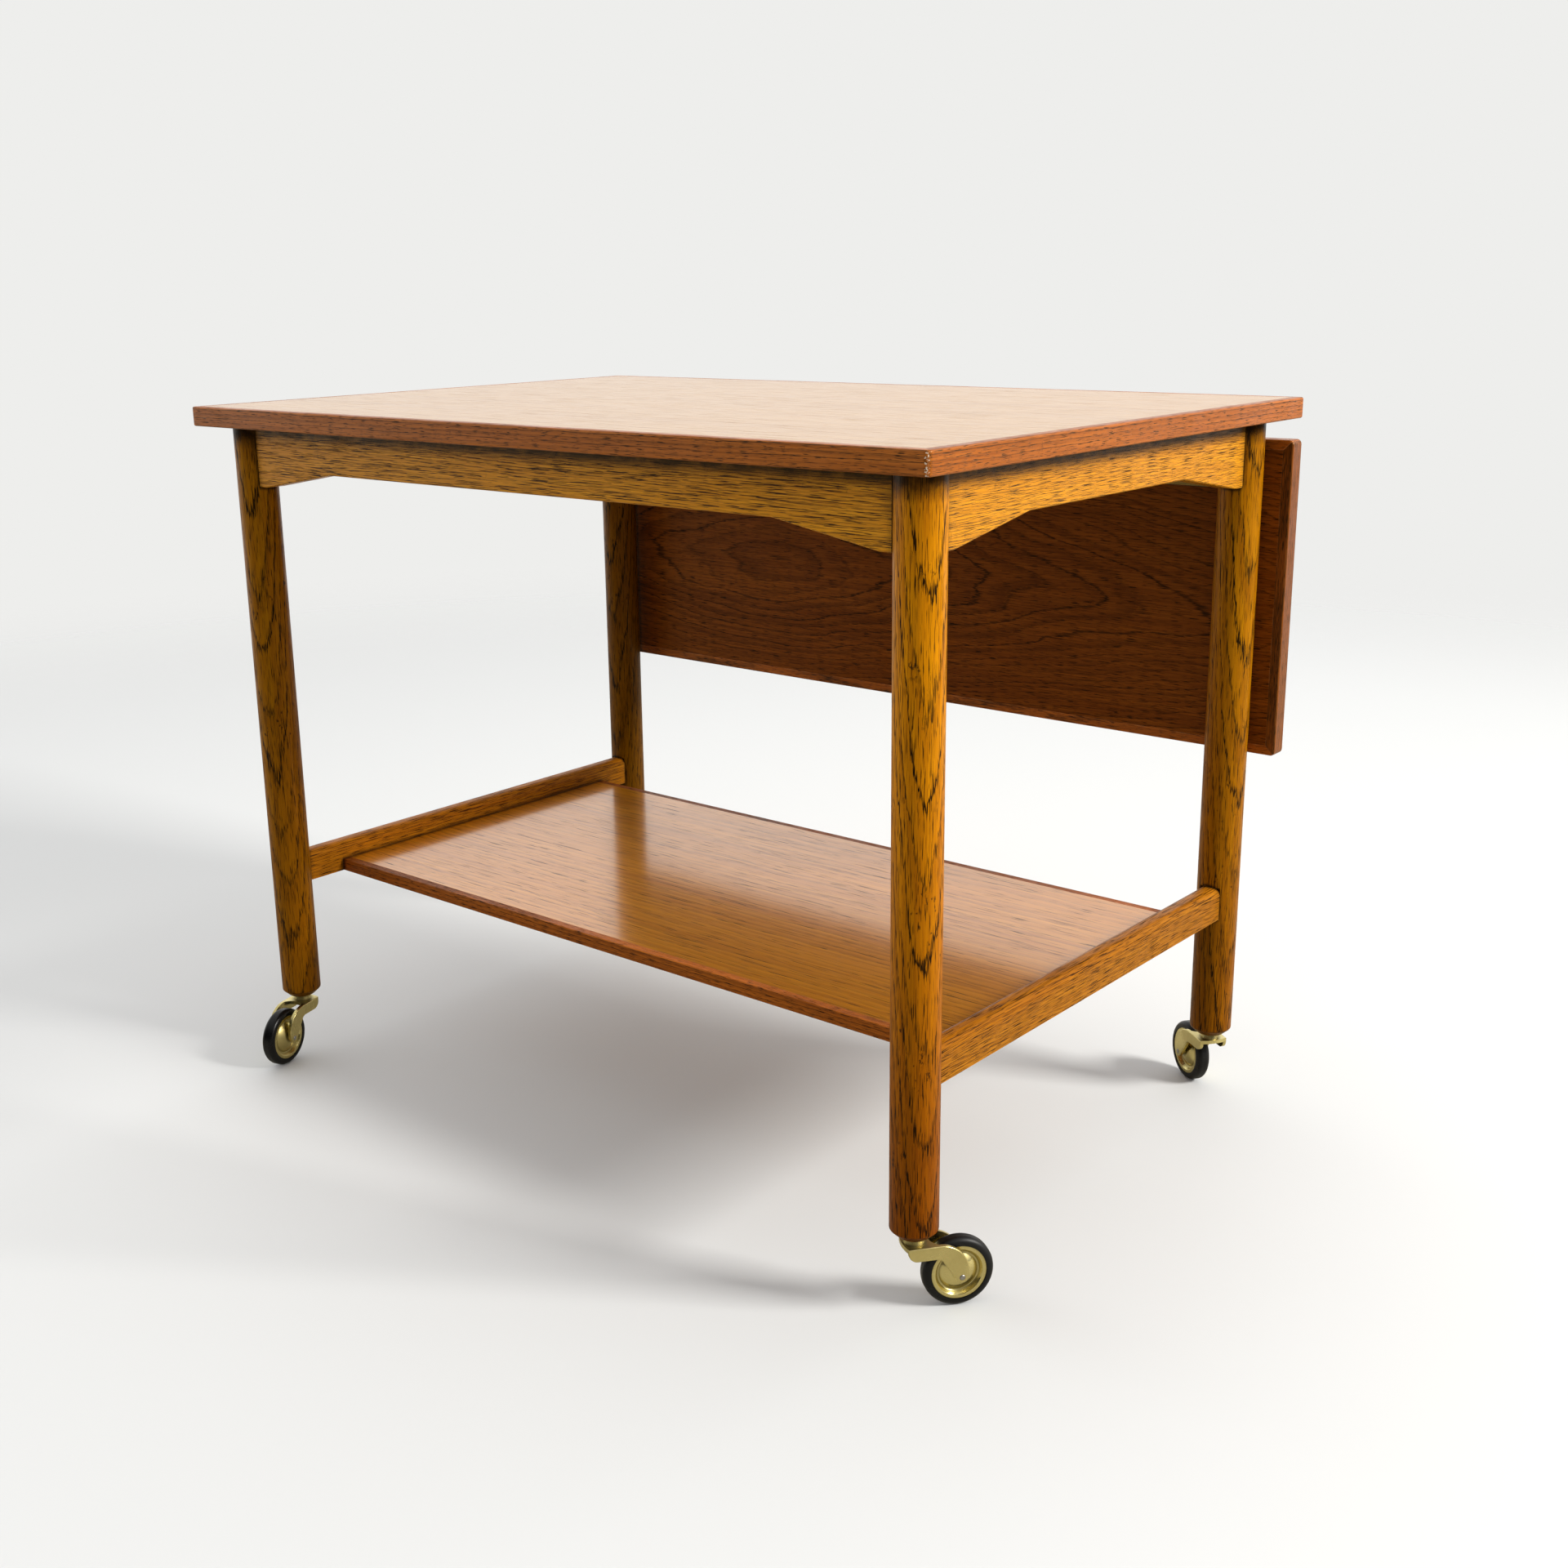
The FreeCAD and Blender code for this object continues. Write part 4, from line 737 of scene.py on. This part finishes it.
TEAK = WoodFinish(
    "teak", pale=paint(226, 150, 18), middle=paint(192, 115, 9), dark=paint(118, 58, 6),
    pore=paint(34, 14, 4), worn=paint(206, 150, 96), ring_spacing=0.006, ring_strength=0.4,
    line_strength=0.4, band=0.22, wobble=0.006, raggedness=0.5, unevenness=1.2, streak_strength=0.8,
    fibre_strength=0.15, patch_strength=0.1, pore_width=0.0008, pore_length=0.032, pore_threshold=0.655,
    pore_strength=1.0, gathering=0.5, roughness=0.32, specular=0.2, coat=1.0, coat_roughness=0.14,
    coat_ior=1.9, wear=0.25, fibre_sheen=0.42, relief=0.2, knocks=0.1, handling=0.5)
TOP_TEAK = replace(
    TEAK, name="pale_teak", pale=paint(198, 146, 62), middle=paint(179, 126, 48), dark=paint(138, 86, 28),
    pore=paint(96, 54, 20), ring_strength=0.2, line_strength=0.18, patch_strength=0.0, pore_threshold=0.62,
    pore_strength=0.5, specular=0.4, coat=0.3, coat_roughness=0.08, roughness=0.24, coat_ior=1.5, relief=0.1,
    handling=0.1, fibre_sheen=0.0, knocks=0.0)
# Teak darkened as painted shade for the leaf's inner face, which lies in the dark under the top, with its own
# figure.
SHADED_LEAF_TEAK = replace(
    TEAK, name="leaf_teak_painted_shade", pale=paint(152, 84, 20), middle=paint(120, 60, 12), dark=paint(74, 33, 6),
    pore=paint(18, 7, 2), ring_spacing=0.0055, ring_strength=0.55, line_strength=0.75, band=0.2, wobble=0.045,
    fibre_strength=0.5, pore_width=0.0006, pore_length=0.014, pore_threshold=0.58, pore_strength=0.8,
    gathering=0.4, specular=0.12, coat=0.04, coat_ior=1.5, roughness=0.36, fibre_sheen=0.0, handling=1.0)
TEAK_STRIP = WoodFinish(
    "teak_strip", pale=paint(196, 110, 34), middle=paint(166, 84, 22), dark=paint(104, 46, 12),
    pore=paint(30, 12, 4), worn=paint(220, 166, 116), ring_spacing=0.0035, band=0.3, wobble=0.006,
    pore_width=0.0005, pore_threshold=0.58, gathering=0.4, roughness=0.36, specular=0.35, coat=0.1, wear=0.35)
SHELF_STRIP = replace(TEAK_STRIP, name="shelf_strip", specular=0.1, coat=0.02)
# The oak finishes' reach under the top sets the depth of the painted shadow there.
OAK = WoodFinish(
    "oak", pale=paint(234, 156, 4), middle=paint(207, 125, 3), dark=paint(150, 78, 2), pore=paint(20, 8, 2),
    worn=paint(226, 172, 78), ring_spacing=0.0042, ring_strength=0.45, line_strength=1.0, band=0.2,
    raggedness=0.7, unevenness=0.9, streak_strength=0.7, wobble=0.012, pore_width=0.00052, pore_length=0.017,
    pore_threshold=0.585, pore_strength=0.9, gathering=0.8, roughness=0.34, specular=0.13, coat=0.04,
    coat_roughness=0.16, wear=0.3, knocks=0.8, dirt_and_shade=1.0, grime_and_shade_reach=0.004, painted_shadow_reach_under_top=0.022)
RAIL_OAK = replace(
    OAK, name="rail_oak", pale=paint(240, 164, 24), middle=paint(214, 134, 14), dark=paint(156, 86, 8),
    pore=paint(40, 16, 4), ring_spacing=0.0022, line_strength=0.4, pore_width=0.0004, pore_length=0.018,
    pore_threshold=0.545, pore_strength=0.95, gathering=0.5, unevenness=1.2, specular=0.36, knocks=0.3,
    grime_and_shade_reach=0.008, painted_shadow_reach_under_top=0.015)
STRETCHER_OAK = replace(
    RAIL_OAK, name="stretcher_oak", pale=paint(206, 132, 22), middle=paint(172, 98, 12),
    dark=paint(124, 64, 6), line_strength=0.6, ring_spacing=0.0032, pore_width=0.0005, pore_strength=0.88,
    specular=0.12, dirt_and_shade=0.6, grime_and_shade_reach=0.003, painted_shadow_reach_under_top=0.003)
BARE_BEECH = WoodFinish(
    "beech", pale=paint(214, 178, 136), middle=paint(196, 156, 112), dark=paint(160, 118, 80),
    pore=paint(120, 82, 54), worn=paint(224, 196, 160), ring_spacing=0.004, ring_strength=0.2, wobble=0.004,
    pore_width=0.0005, pore_length=0.003, pore_threshold=0.68, pore_strength=0.5, gathering=0.2,
    roughness=0.62, specular=0.3, coat=0.0, wear=0.2)
PLATED_BRASS = MetalFinish("plated_brass", colour=paint(230, 215, 148), tarnish=paint(188, 170, 106),
                           worn=paint(246, 232, 184), tarnish_strength=0.45)
HINGE_BRASS = MetalFinish("hinge_brass", colour=paint(200, 168, 98), tarnish=paint(140, 108, 62),
                          worn=paint(226, 204, 148), roughness=0.34, tarnish_strength=0.6)
STEEL = MetalFinish("bright_steel", colour=paint(186, 184, 180), tarnish=paint(138, 134, 128),
                    worn=paint(214, 212, 208), roughness=0.3)
TYRE_RUBBER = RubberFinish()


def dress(node: str, material: Material) -> None:
    """Gives a CAD node its finish through its material slots.

    Args:
        node: The node's name.
        material: Its finish, which takes the node's name too.
    """
    material.name = f"{material.name}_{node}"
    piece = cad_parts[node]
    if not piece.material_slots:
        piece.data.materials.append(material)
    for slot in piece.material_slots:
        slot.material = material
    LOG.info("%s is finished in %s", node, material.name)


def heart_from(node: str, offset: Point) -> Point:
    """Places the heart of a board's tree.

    Args:
        node: The board's node.
        offset: How far the heart lies from the middle of its box, in metres.

    Returns:
        A point on the heart's line.
    """
    low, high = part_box(node)
    x, y, z = (low + high) / 2
    return (x + offset[0], y + offset[1], z + offset[2])


class Assembly(ABC):
    """Pieces that are dressed together."""

    @abstractmethod
    def finish(self) -> None:
        """Dresses each of its pieces."""


@dataclass
class TableTop(Assembly):
    """The veneered top in its mitred edge strips."""

    veneer: Board = Board(Grain.ALONG_X, (0.0, -0.35, 0.30), seed=3.1, taper=0.01)
    strip_heart: Point = (0.0, 0.0, -0.045)
    chipped: tuple[str, ...] = ("front", "right")
    strips: dict[str, Grain] = field(default_factory=lambda: {
        "front": Grain.ALONG_X, "back": Grain.ALONG_X, "left": Grain.ALONG_Y, "right": Grain.ALONG_Y})

    def finish(self) -> None:
        """Gives the panel its veneer and each strip its own board, chipped at one corner."""
        dress("top_panel", TOP_TEAK.board(self.veneer))
        low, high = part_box("top_front_lipping")
        corner = (high.x, low.y, 0.0)
        for index, (side, grain) in enumerate(self.strips.items()):
            node = f"top_{side}_lipping"
            corners = (corner,) if side in self.chipped else ()
            dress(node, TEAK_STRIP.board(Board(grain, heart_from(node, self.strip_heart), seed=11.7 + index,
                                               corners=corners)))


@dataclass
class DropLeaf(Assembly):
    """The leaf that hangs at the back, with a figure of ovals on its inner face, which is darkened as painted
    shade.
    """

    figure: Board = Board(Grain.ALONG_X, (-0.15, 0.289, 0.415), seed=5.3, bulge=0.13, reach=0.035)
    veneer_depth: float = 0.001
    strip_heart: Point = (0.0, 0.05, 0.0)
    end_shade: float = 0.55
    strips: dict[str, Grain] = field(default_factory=lambda: {
        "bottom": Grain.ALONG_X, "top": Grain.ALONG_X, "left": Grain.ALONG_Z, "right": Grain.ALONG_Z})

    def finish(self) -> None:
        """Gives the panel its figured veneer, darkened on its inner face as painted shade, and each strip its
        own board.
        """
        # The outer face wears the top's teak, without the painted shade.
        outer = (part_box("leaf_panel")[1].y - self.veneer_depth, TOP_TEAK)
        dress("leaf_panel", SHADED_LEAF_TEAK.board(replace(self.figure, outer=outer)))
        for index, (side, grain) in enumerate(self.strips.items()):
            node = f"leaf_{side}_lipping"
            shade = self.end_shade if grain is Grain.ALONG_Z else 1.0
            dress(node, TEAK_STRIP.board(Board(grain, heart_from(node, self.strip_heart), seed=21.3 + index,
                                               shade=shade)))


@dataclass(frozen=True)
class Leg:
    """One leg's pattern and tone, partly painted shade, its painted shade near the floor, and the way from it
    to the tree's heart in degrees from X.
    """

    seed: float
    heart_turn: float
    shade: float
    foot: float


@dataclass(frozen=True)
class Rail:
    """One apron's or stretcher's stain, the way it runs, its own pattern and its shade, which on the
    stretchers is painted light and shade.
    """

    oak: WoodFinish
    grain: Grain
    seed: float
    shade: float = 1.0


@dataclass
class Frame(Assembly):
    """Legs, aprons and stretchers of stained oak."""

    leg_heart: float = 0.038
    leg_taper: float = 0.07
    legs: dict[str, Leg] = field(default_factory=lambda: {
        # The back legs are darkened as painted shade under the top, the front left leg for its darker stain;
        # each foot value is painted shade near the floor.
        "front_left": Leg(seed=31.7, heart_turn=122.0, shade=0.53, foot=0.8),
        "front_right": Leg(seed=32.7, heart_turn=150.0, shade=0.98, foot=0.26),
        "back_left": Leg(seed=34.7, heart_turn=96.0, shade=0.28, foot=0.9),
        "back_right": Leg(seed=35.7, heart_turn=160.0, shade=0.6, foot=0.6)})
    rail_heart: Point = (0.009, 0.0, -0.15)
    rail_taper: float = 0.03
    rails: dict[str, Rail] = field(default_factory=lambda: {
        "front_apron": Rail(RAIL_OAK, Grain.ALONG_X, 41.3),
        "back_apron": Rail(RAIL_OAK, Grain.ALONG_X, 42.3),
        "left_apron": Rail(RAIL_OAK, Grain.ALONG_Y, 45.7),
        "right_apron": Rail(RAIL_OAK, Grain.ALONG_Y, 46.7),
        # The left stretcher is lightened and the right one darkened as painted light and shade.
        "left_stretcher": Rail(STRETCHER_OAK, Grain.ALONG_Y, 51.1, shade=1.12),
        "right_stretcher": Rail(STRETCHER_OAK, Grain.ALONG_Y, 52.1, shade=0.87)})

    def finish(self) -> None:
        """Gives every piece of the frame its own board."""
        for corner, leg in self.legs.items():
            turn = math.radians(leg.heart_turn)
            offset = (self.leg_heart * math.cos(turn), self.leg_heart * math.sin(turn), 0.0)
            node = f"{corner}_leg"
            dress(node, OAK.board(Board(Grain.ALONG_Z, heart_from(node, offset), leg.seed, self.leg_taper,
                                        shade=leg.shade, foot=leg.foot)))
        for node, rail in self.rails.items():
            dress(node, rail.oak.board(Board(rail.grain, heart_from(node, self.rail_heart), rail.seed,
                                             self.rail_taper, shade=rail.shade)))


@dataclass
class Shelf(Assembly):
    """The lower shelf with its two edge strips."""

    veneer: Board = Board(Grain.ALONG_X, (0.1, 0.30, -0.10), seed=7.9, taper=0.01)
    strip_heart: Point = (0.0, 0.0, -0.05)

    def finish(self) -> None:
        """Gives the panel its veneer and the strips their boards."""
        dress("shelf_panel", TEAK.board(self.veneer))
        for index, end in enumerate(ENDS):
            node = f"shelf_{end}_lipping"
            heart = heart_from(node, self.strip_heart)
            dress(node, SHELF_STRIP.board(Board(Grain.ALONG_X, heart, seed=61.9 + index)))


@dataclass
class LeafSupports(Assembly):
    """The two pull-out supports, their pegs and their guides."""

    heart: Point = (0.02, 0.0, -0.06)

    def finish(self) -> None:
        """Dresses each support, peg and guide."""
        for index, side in enumerate(SIDES):
            loper = f"{side}_loper"
            heart = heart_from(loper, self.heart)
            dress(loper, OAK.board(Board(Grain.ALONG_Y, heart, seed=71.3 + index)))
            dress(f"{loper}_guide", OAK.board(Board(Grain.ALONG_Y, heart, seed=75.7 + index)))
            dress(f"{loper}_peg", BARE_BEECH.board(Board(Grain.ALONG_Z, heart, seed=79.1 + index)))


@dataclass
class Joinery(Assembly):
    """Dowels, glue blocks and screws."""

    blocks: Board = Board(Grain.ALONG_X, (0.0, 0.0, 0.45), seed=84.7)
    dowels: dict[str, Board] = field(default_factory=lambda: {
        "apron_dowels": Board(Grain.ALONG_X, (0.0, 0.0, 0.5), seed=81.3),
        "stretcher_dowels": Board(Grain.ALONG_Y, (0.0, 0.0, 0.1), seed=82.9),
        "shelf_dowels": Board(Grain.ALONG_X, (0.0, 0.0, 0.1), seed=83.3)})

    def finish(self) -> None:
        """Dresses what holds the boards together."""
        for node, board in self.dowels.items():
            dress(node, BARE_BEECH.board(board))
        dress("glue_blocks", OAK.board(self.blocks))
        dress("top_screws", STEEL.part(seed=85.1))


@dataclass
class LeafHinges(Assembly):
    """The two knuckled hinges with their pins and screws."""

    def finish(self) -> None:
        """Dresses the flaps, pins and screws."""
        for index, side in enumerate(SIDES):
            dress(f"{side}_hinge_top_flap", HINGE_BRASS.part(seed=91.3 + index))
            dress(f"{side}_hinge_leaf_flap", HINGE_BRASS.part(seed=93.3 + index))
            dress(f"{side}_hinge_pin", STEEL.part(seed=95.3 + index))
        dress("hinge_top_screws", HINGE_BRASS.part(seed=97.1))
        dress("hinge_leaf_screws", HINGE_BRASS.part(seed=98.1))


@dataclass
class Casters(Assembly):
    """The four swivel casters and their sockets."""

    def finish(self) -> None:
        """Dresses each fork, axle, hub and tyre."""
        dress("caster_sockets", STEEL.part(seed=99.3))
        for number, end in enumerate(ENDS):
            for index, side in enumerate(SIDES):
                caster = f"{end}_{side}_caster"
                seed = 101.0 + 7 * number + 3 * index
                dress(f"{caster}_fork", PLATED_BRASS.part(seed))
                dress(f"{caster}_hub", PLATED_BRASS.part(seed + 1))
                dress(f"{caster}_axle", STEEL.part(seed + 2))
                dress(f"{caster}_tyre", TYRE_RUBBER.part(seed))


def show(name: str, data: bpy.types.ID) -> bpy.types.Object:
    """Makes an object of some data and puts it in the scene.

    Args:
        name: The object's name.
        data: Its mesh, camera or light.

    Returns:
        The object.
    """
    made = bpy.data.objects.new(name, data)
    bpy.context.scene.collection.objects.link(made)
    return made


@dataclass
class PhotoCamera:
    """A camera where the photograph was taken from, in metres, degrees and the picture's pixels."""

    place: Point = (0.975229, -1.114838, 0.684063)
    turn: float = 40.829
    tilt: float = -15.213
    roll: float = -0.945
    focal_length: float = 2203.447
    centre: tuple[float, float] = (913.12, 937.113)
    picture: float = 1920.0
    sensor: float = 36.0
    clip: Span = (0.02, 60.0)

    def build(self) -> None:
        """Makes the camera and gives it to the scene."""
        data = bpy.data.cameras.new("photo_camera")
        data.sensor_width = self.sensor
        data.lens = self.sensor * self.focal_length / self.picture
        data.shift_x = (self.picture / 2 - self.centre[0]) / self.picture
        data.shift_y = (self.centre[1] - self.picture / 2) / self.picture
        data.clip_start, data.clip_end = self.clip
        pose = Matrix.Translation(self.place)
        for degrees, axis in ((self.turn, "Z"), (90 + self.tilt, "X"), (self.roll, "Z")):
            pose = pose @ Matrix.Rotation(math.radians(degrees), 4, axis)
        camera = show("photo_camera", data)
        camera.matrix_world = pose
        bpy.context.scene.camera = camera


@dataclass(frozen=True)
class Lamp:
    """A square lamp, with its place and side in metres and its power in watts."""

    name: str
    place: Point
    side: float
    power: float
    colour: Point
    target: Point = (0.0, 0.0, 0.35)

    def hang(self) -> None:
        """Hangs the lamp so that it faces its target."""
        data = bpy.data.lights.new(self.name, "AREA")
        data.size = self.side
        data.energy = self.power
        data.color = self.colour
        lamp = show(self.name, data)
        lamp.location = self.place
        lamp.rotation_euler = (Vector(self.target) - Vector(self.place)).to_track_quat("-Z", "Y").to_euler()


@dataclass(frozen=True)
class Glow:
    """A bright patch of the surroundings: its way, the cosines of its edge, and both strengths."""

    way: Point
    edge: Span
    dim: float
    bright: float

    def strength(self, graph: Graph, way: Socket) -> Socket:
        """Gives the strength of the light that comes from a direction."""
        toward = graph.vector("DOT_PRODUCT", way, Vector(self.way).normalized())
        return graph.span(toward, *self.edge, self.dim, self.bright)


@dataclass
class Studio:
    """A plain pale floor and soft light."""

    window: Lamp = Lamp("window_side", (2.88, 0.95, 1.86), side=0.85, power=124.0, colour=(1.0, 0.97, 0.92))
    overhead: Lamp = Lamp("overhead", (-0.3, 0.2, 2.9), side=1.6, power=8.0, colour=(1.0, 0.99, 0.97))
    floor_rings: tuple[float, ...] = (0.6, 1.2, 1.7, 2.4, 3.2)
    floor_sides: int = 96
    floor_fade: Span = (1.7, 3.0)
    floor_colour: Colour = paint(226, 228, 229)
    floor_cast: Colour = paint(120, 125, 128)
    floor_mirrored: Colour = paint(170, 166, 152)
    floor_roughness: float = 0.6
    floor_specular: float = 0.2
    near_window: float = 0.7
    window_distances: Span = (0.6, 3.8)
    backdrop: Colour = paint(238, 238, 236)
    room_light: Colour = (1.0, 0.99, 0.975, 1.0)
    wall: Glow = Glow((-0.88, 0.47, 0.05), (-0.35, 0.55), dim=0.48, bright=1.75)
    mirrored_wall: Glow = Glow((-0.77, 0.64, 0.05), (0.0, 0.35), dim=0.04, bright=1.06)
    mirrored_window: Glow = Glow((2.88, 0.95, 1.86), (0.84, 0.95), dim=0.0, bright=1.1)
    ceiling: float = 0.62
    ceiling_heights: Span = (0.35, 0.95)

    def floor_mesh(self) -> bpy.types.Mesh:
        """Makes a round floor of rings around its middle.

        Returns:
            The floor's mesh.
        """
        verts: list[Point] = [ORIGIN]
        faces: list[tuple[int, ...]] = []
        sides = self.floor_sides
        for row, radius in enumerate(self.floor_rings):
            for step in range(sides):
                angle = 2 * math.pi * step / sides
                verts.append((radius * math.cos(angle), radius * math.sin(angle), 0.0))
                here = 1 + row * sides + step
                there = 1 + row * sides + (step + 1) % sides
                faces.append((here - sides, here, there, there - sides) if row else (0, here, there))
        mesh = bpy.data.meshes.new("studio_floor")
        mesh.from_pydata(verts, [], faces)
        return mesh

    def floor(self) -> None:
        """Lays the floor, darker near the window, which fades into the backdrop at its rim."""
        material, graph, shader, spot = new_material("studio_floor")
        rays = graph.node("ShaderNodeLightPath").outputs
        away = graph.vector("LENGTH", graph.vector("SUBTRACT", spot, (*self.window.place[:2], 0.0)))
        tone = graph.span(away, *self.window_distances, self.near_window, 1.0)
        shown = graph.vector("SCALE", self.floor_colour[:3], Scale=tone)
        unseen = graph.mix(rays["Is Glossy Ray"], self.floor_cast, self.floor_mirrored)
        graph.feed(shader, Base_Color=graph.mix(rays["Is Camera Ray"], unseen, shown),
                   Roughness=self.floor_roughness, Specular_IOR_Level=self.floor_specular)
        fade = graph.span(graph.vector("LENGTH", spot), *self.floor_fade)
        clear = graph.node("ShaderNodeBsdfTransparent").outputs[0]
        blend = graph.node("ShaderNodeMixShader", fade, shader.outputs[0], clear).outputs[0]
        graph.feed(material.node_tree.get_output_node("ALL"), Surface=blend)
        floor = show("studio_floor", self.floor_mesh())
        floor.data.materials.append(material)

    def surroundings(self) -> None:
        """Lights the object evenly, and shows a plain pale backdrop behind it."""
        world = bpy.data.worlds.new("soft_room")
        bpy.context.scene.world = world
        world.use_nodes = True
        world.node_tree.nodes.clear()
        graph = Graph(world.node_tree)
        rays = graph.node("ShaderNodeLightPath").outputs
        way = graph.node("ShaderNodeTexCoord").outputs["Generated"]
        # Lacquer and metal mirror a darker room, with one bright wall and the window.
        mirrored = graph.maths("MAXIMUM", self.mirrored_wall.strength(graph, way),
                               self.mirrored_window.strength(graph, way))
        walls = graph.span(rays["Is Glossy Ray"], 0.0, 1.0, self.wall.strength(graph, way), mirrored,
                           smooth=False)
        height = graph.span(graph.parts(way)["Z"], *self.ceiling_heights)
        strength = graph.span(height, 0.0, 1.0, walls, self.ceiling, smooth=False)
        lit = graph.node("ShaderNodeBackground", Color=self.room_light, Strength=strength).outputs[0]
        seen = graph.node("ShaderNodeBackground", Color=self.backdrop).outputs[0]
        blend = graph.node("ShaderNodeMixShader", rays["Is Camera Ray"], lit, seen).outputs[0]
        graph.node("ShaderNodeOutputWorld", Surface=blend)

    def build(self) -> None:
        """Makes the floor, the surroundings and the lamps."""
        self.floor()
        self.surroundings()
        for lamp in (self.window, self.overhead):
            lamp.hang()
        bpy.context.scene.view_settings.view_transform = "Standard"


def main() -> None:
    """Builds the looks in order and reports each piece."""
    logging.basicConfig(level=logging.INFO, format="%(message)s")
    assemblies: tuple[Assembly, ...] = (TableTop(), DropLeaf(), Frame(), Shelf(), LeafSupports(), Joinery(),
                                        LeafHinges(), Casters())
    for assembly in assemblies:
        assembly.finish()
        LOG.info("%s done", type(assembly).__name__)
    Studio().build()
    PhotoCamera().build()


if __name__ == "__main__":
    main()
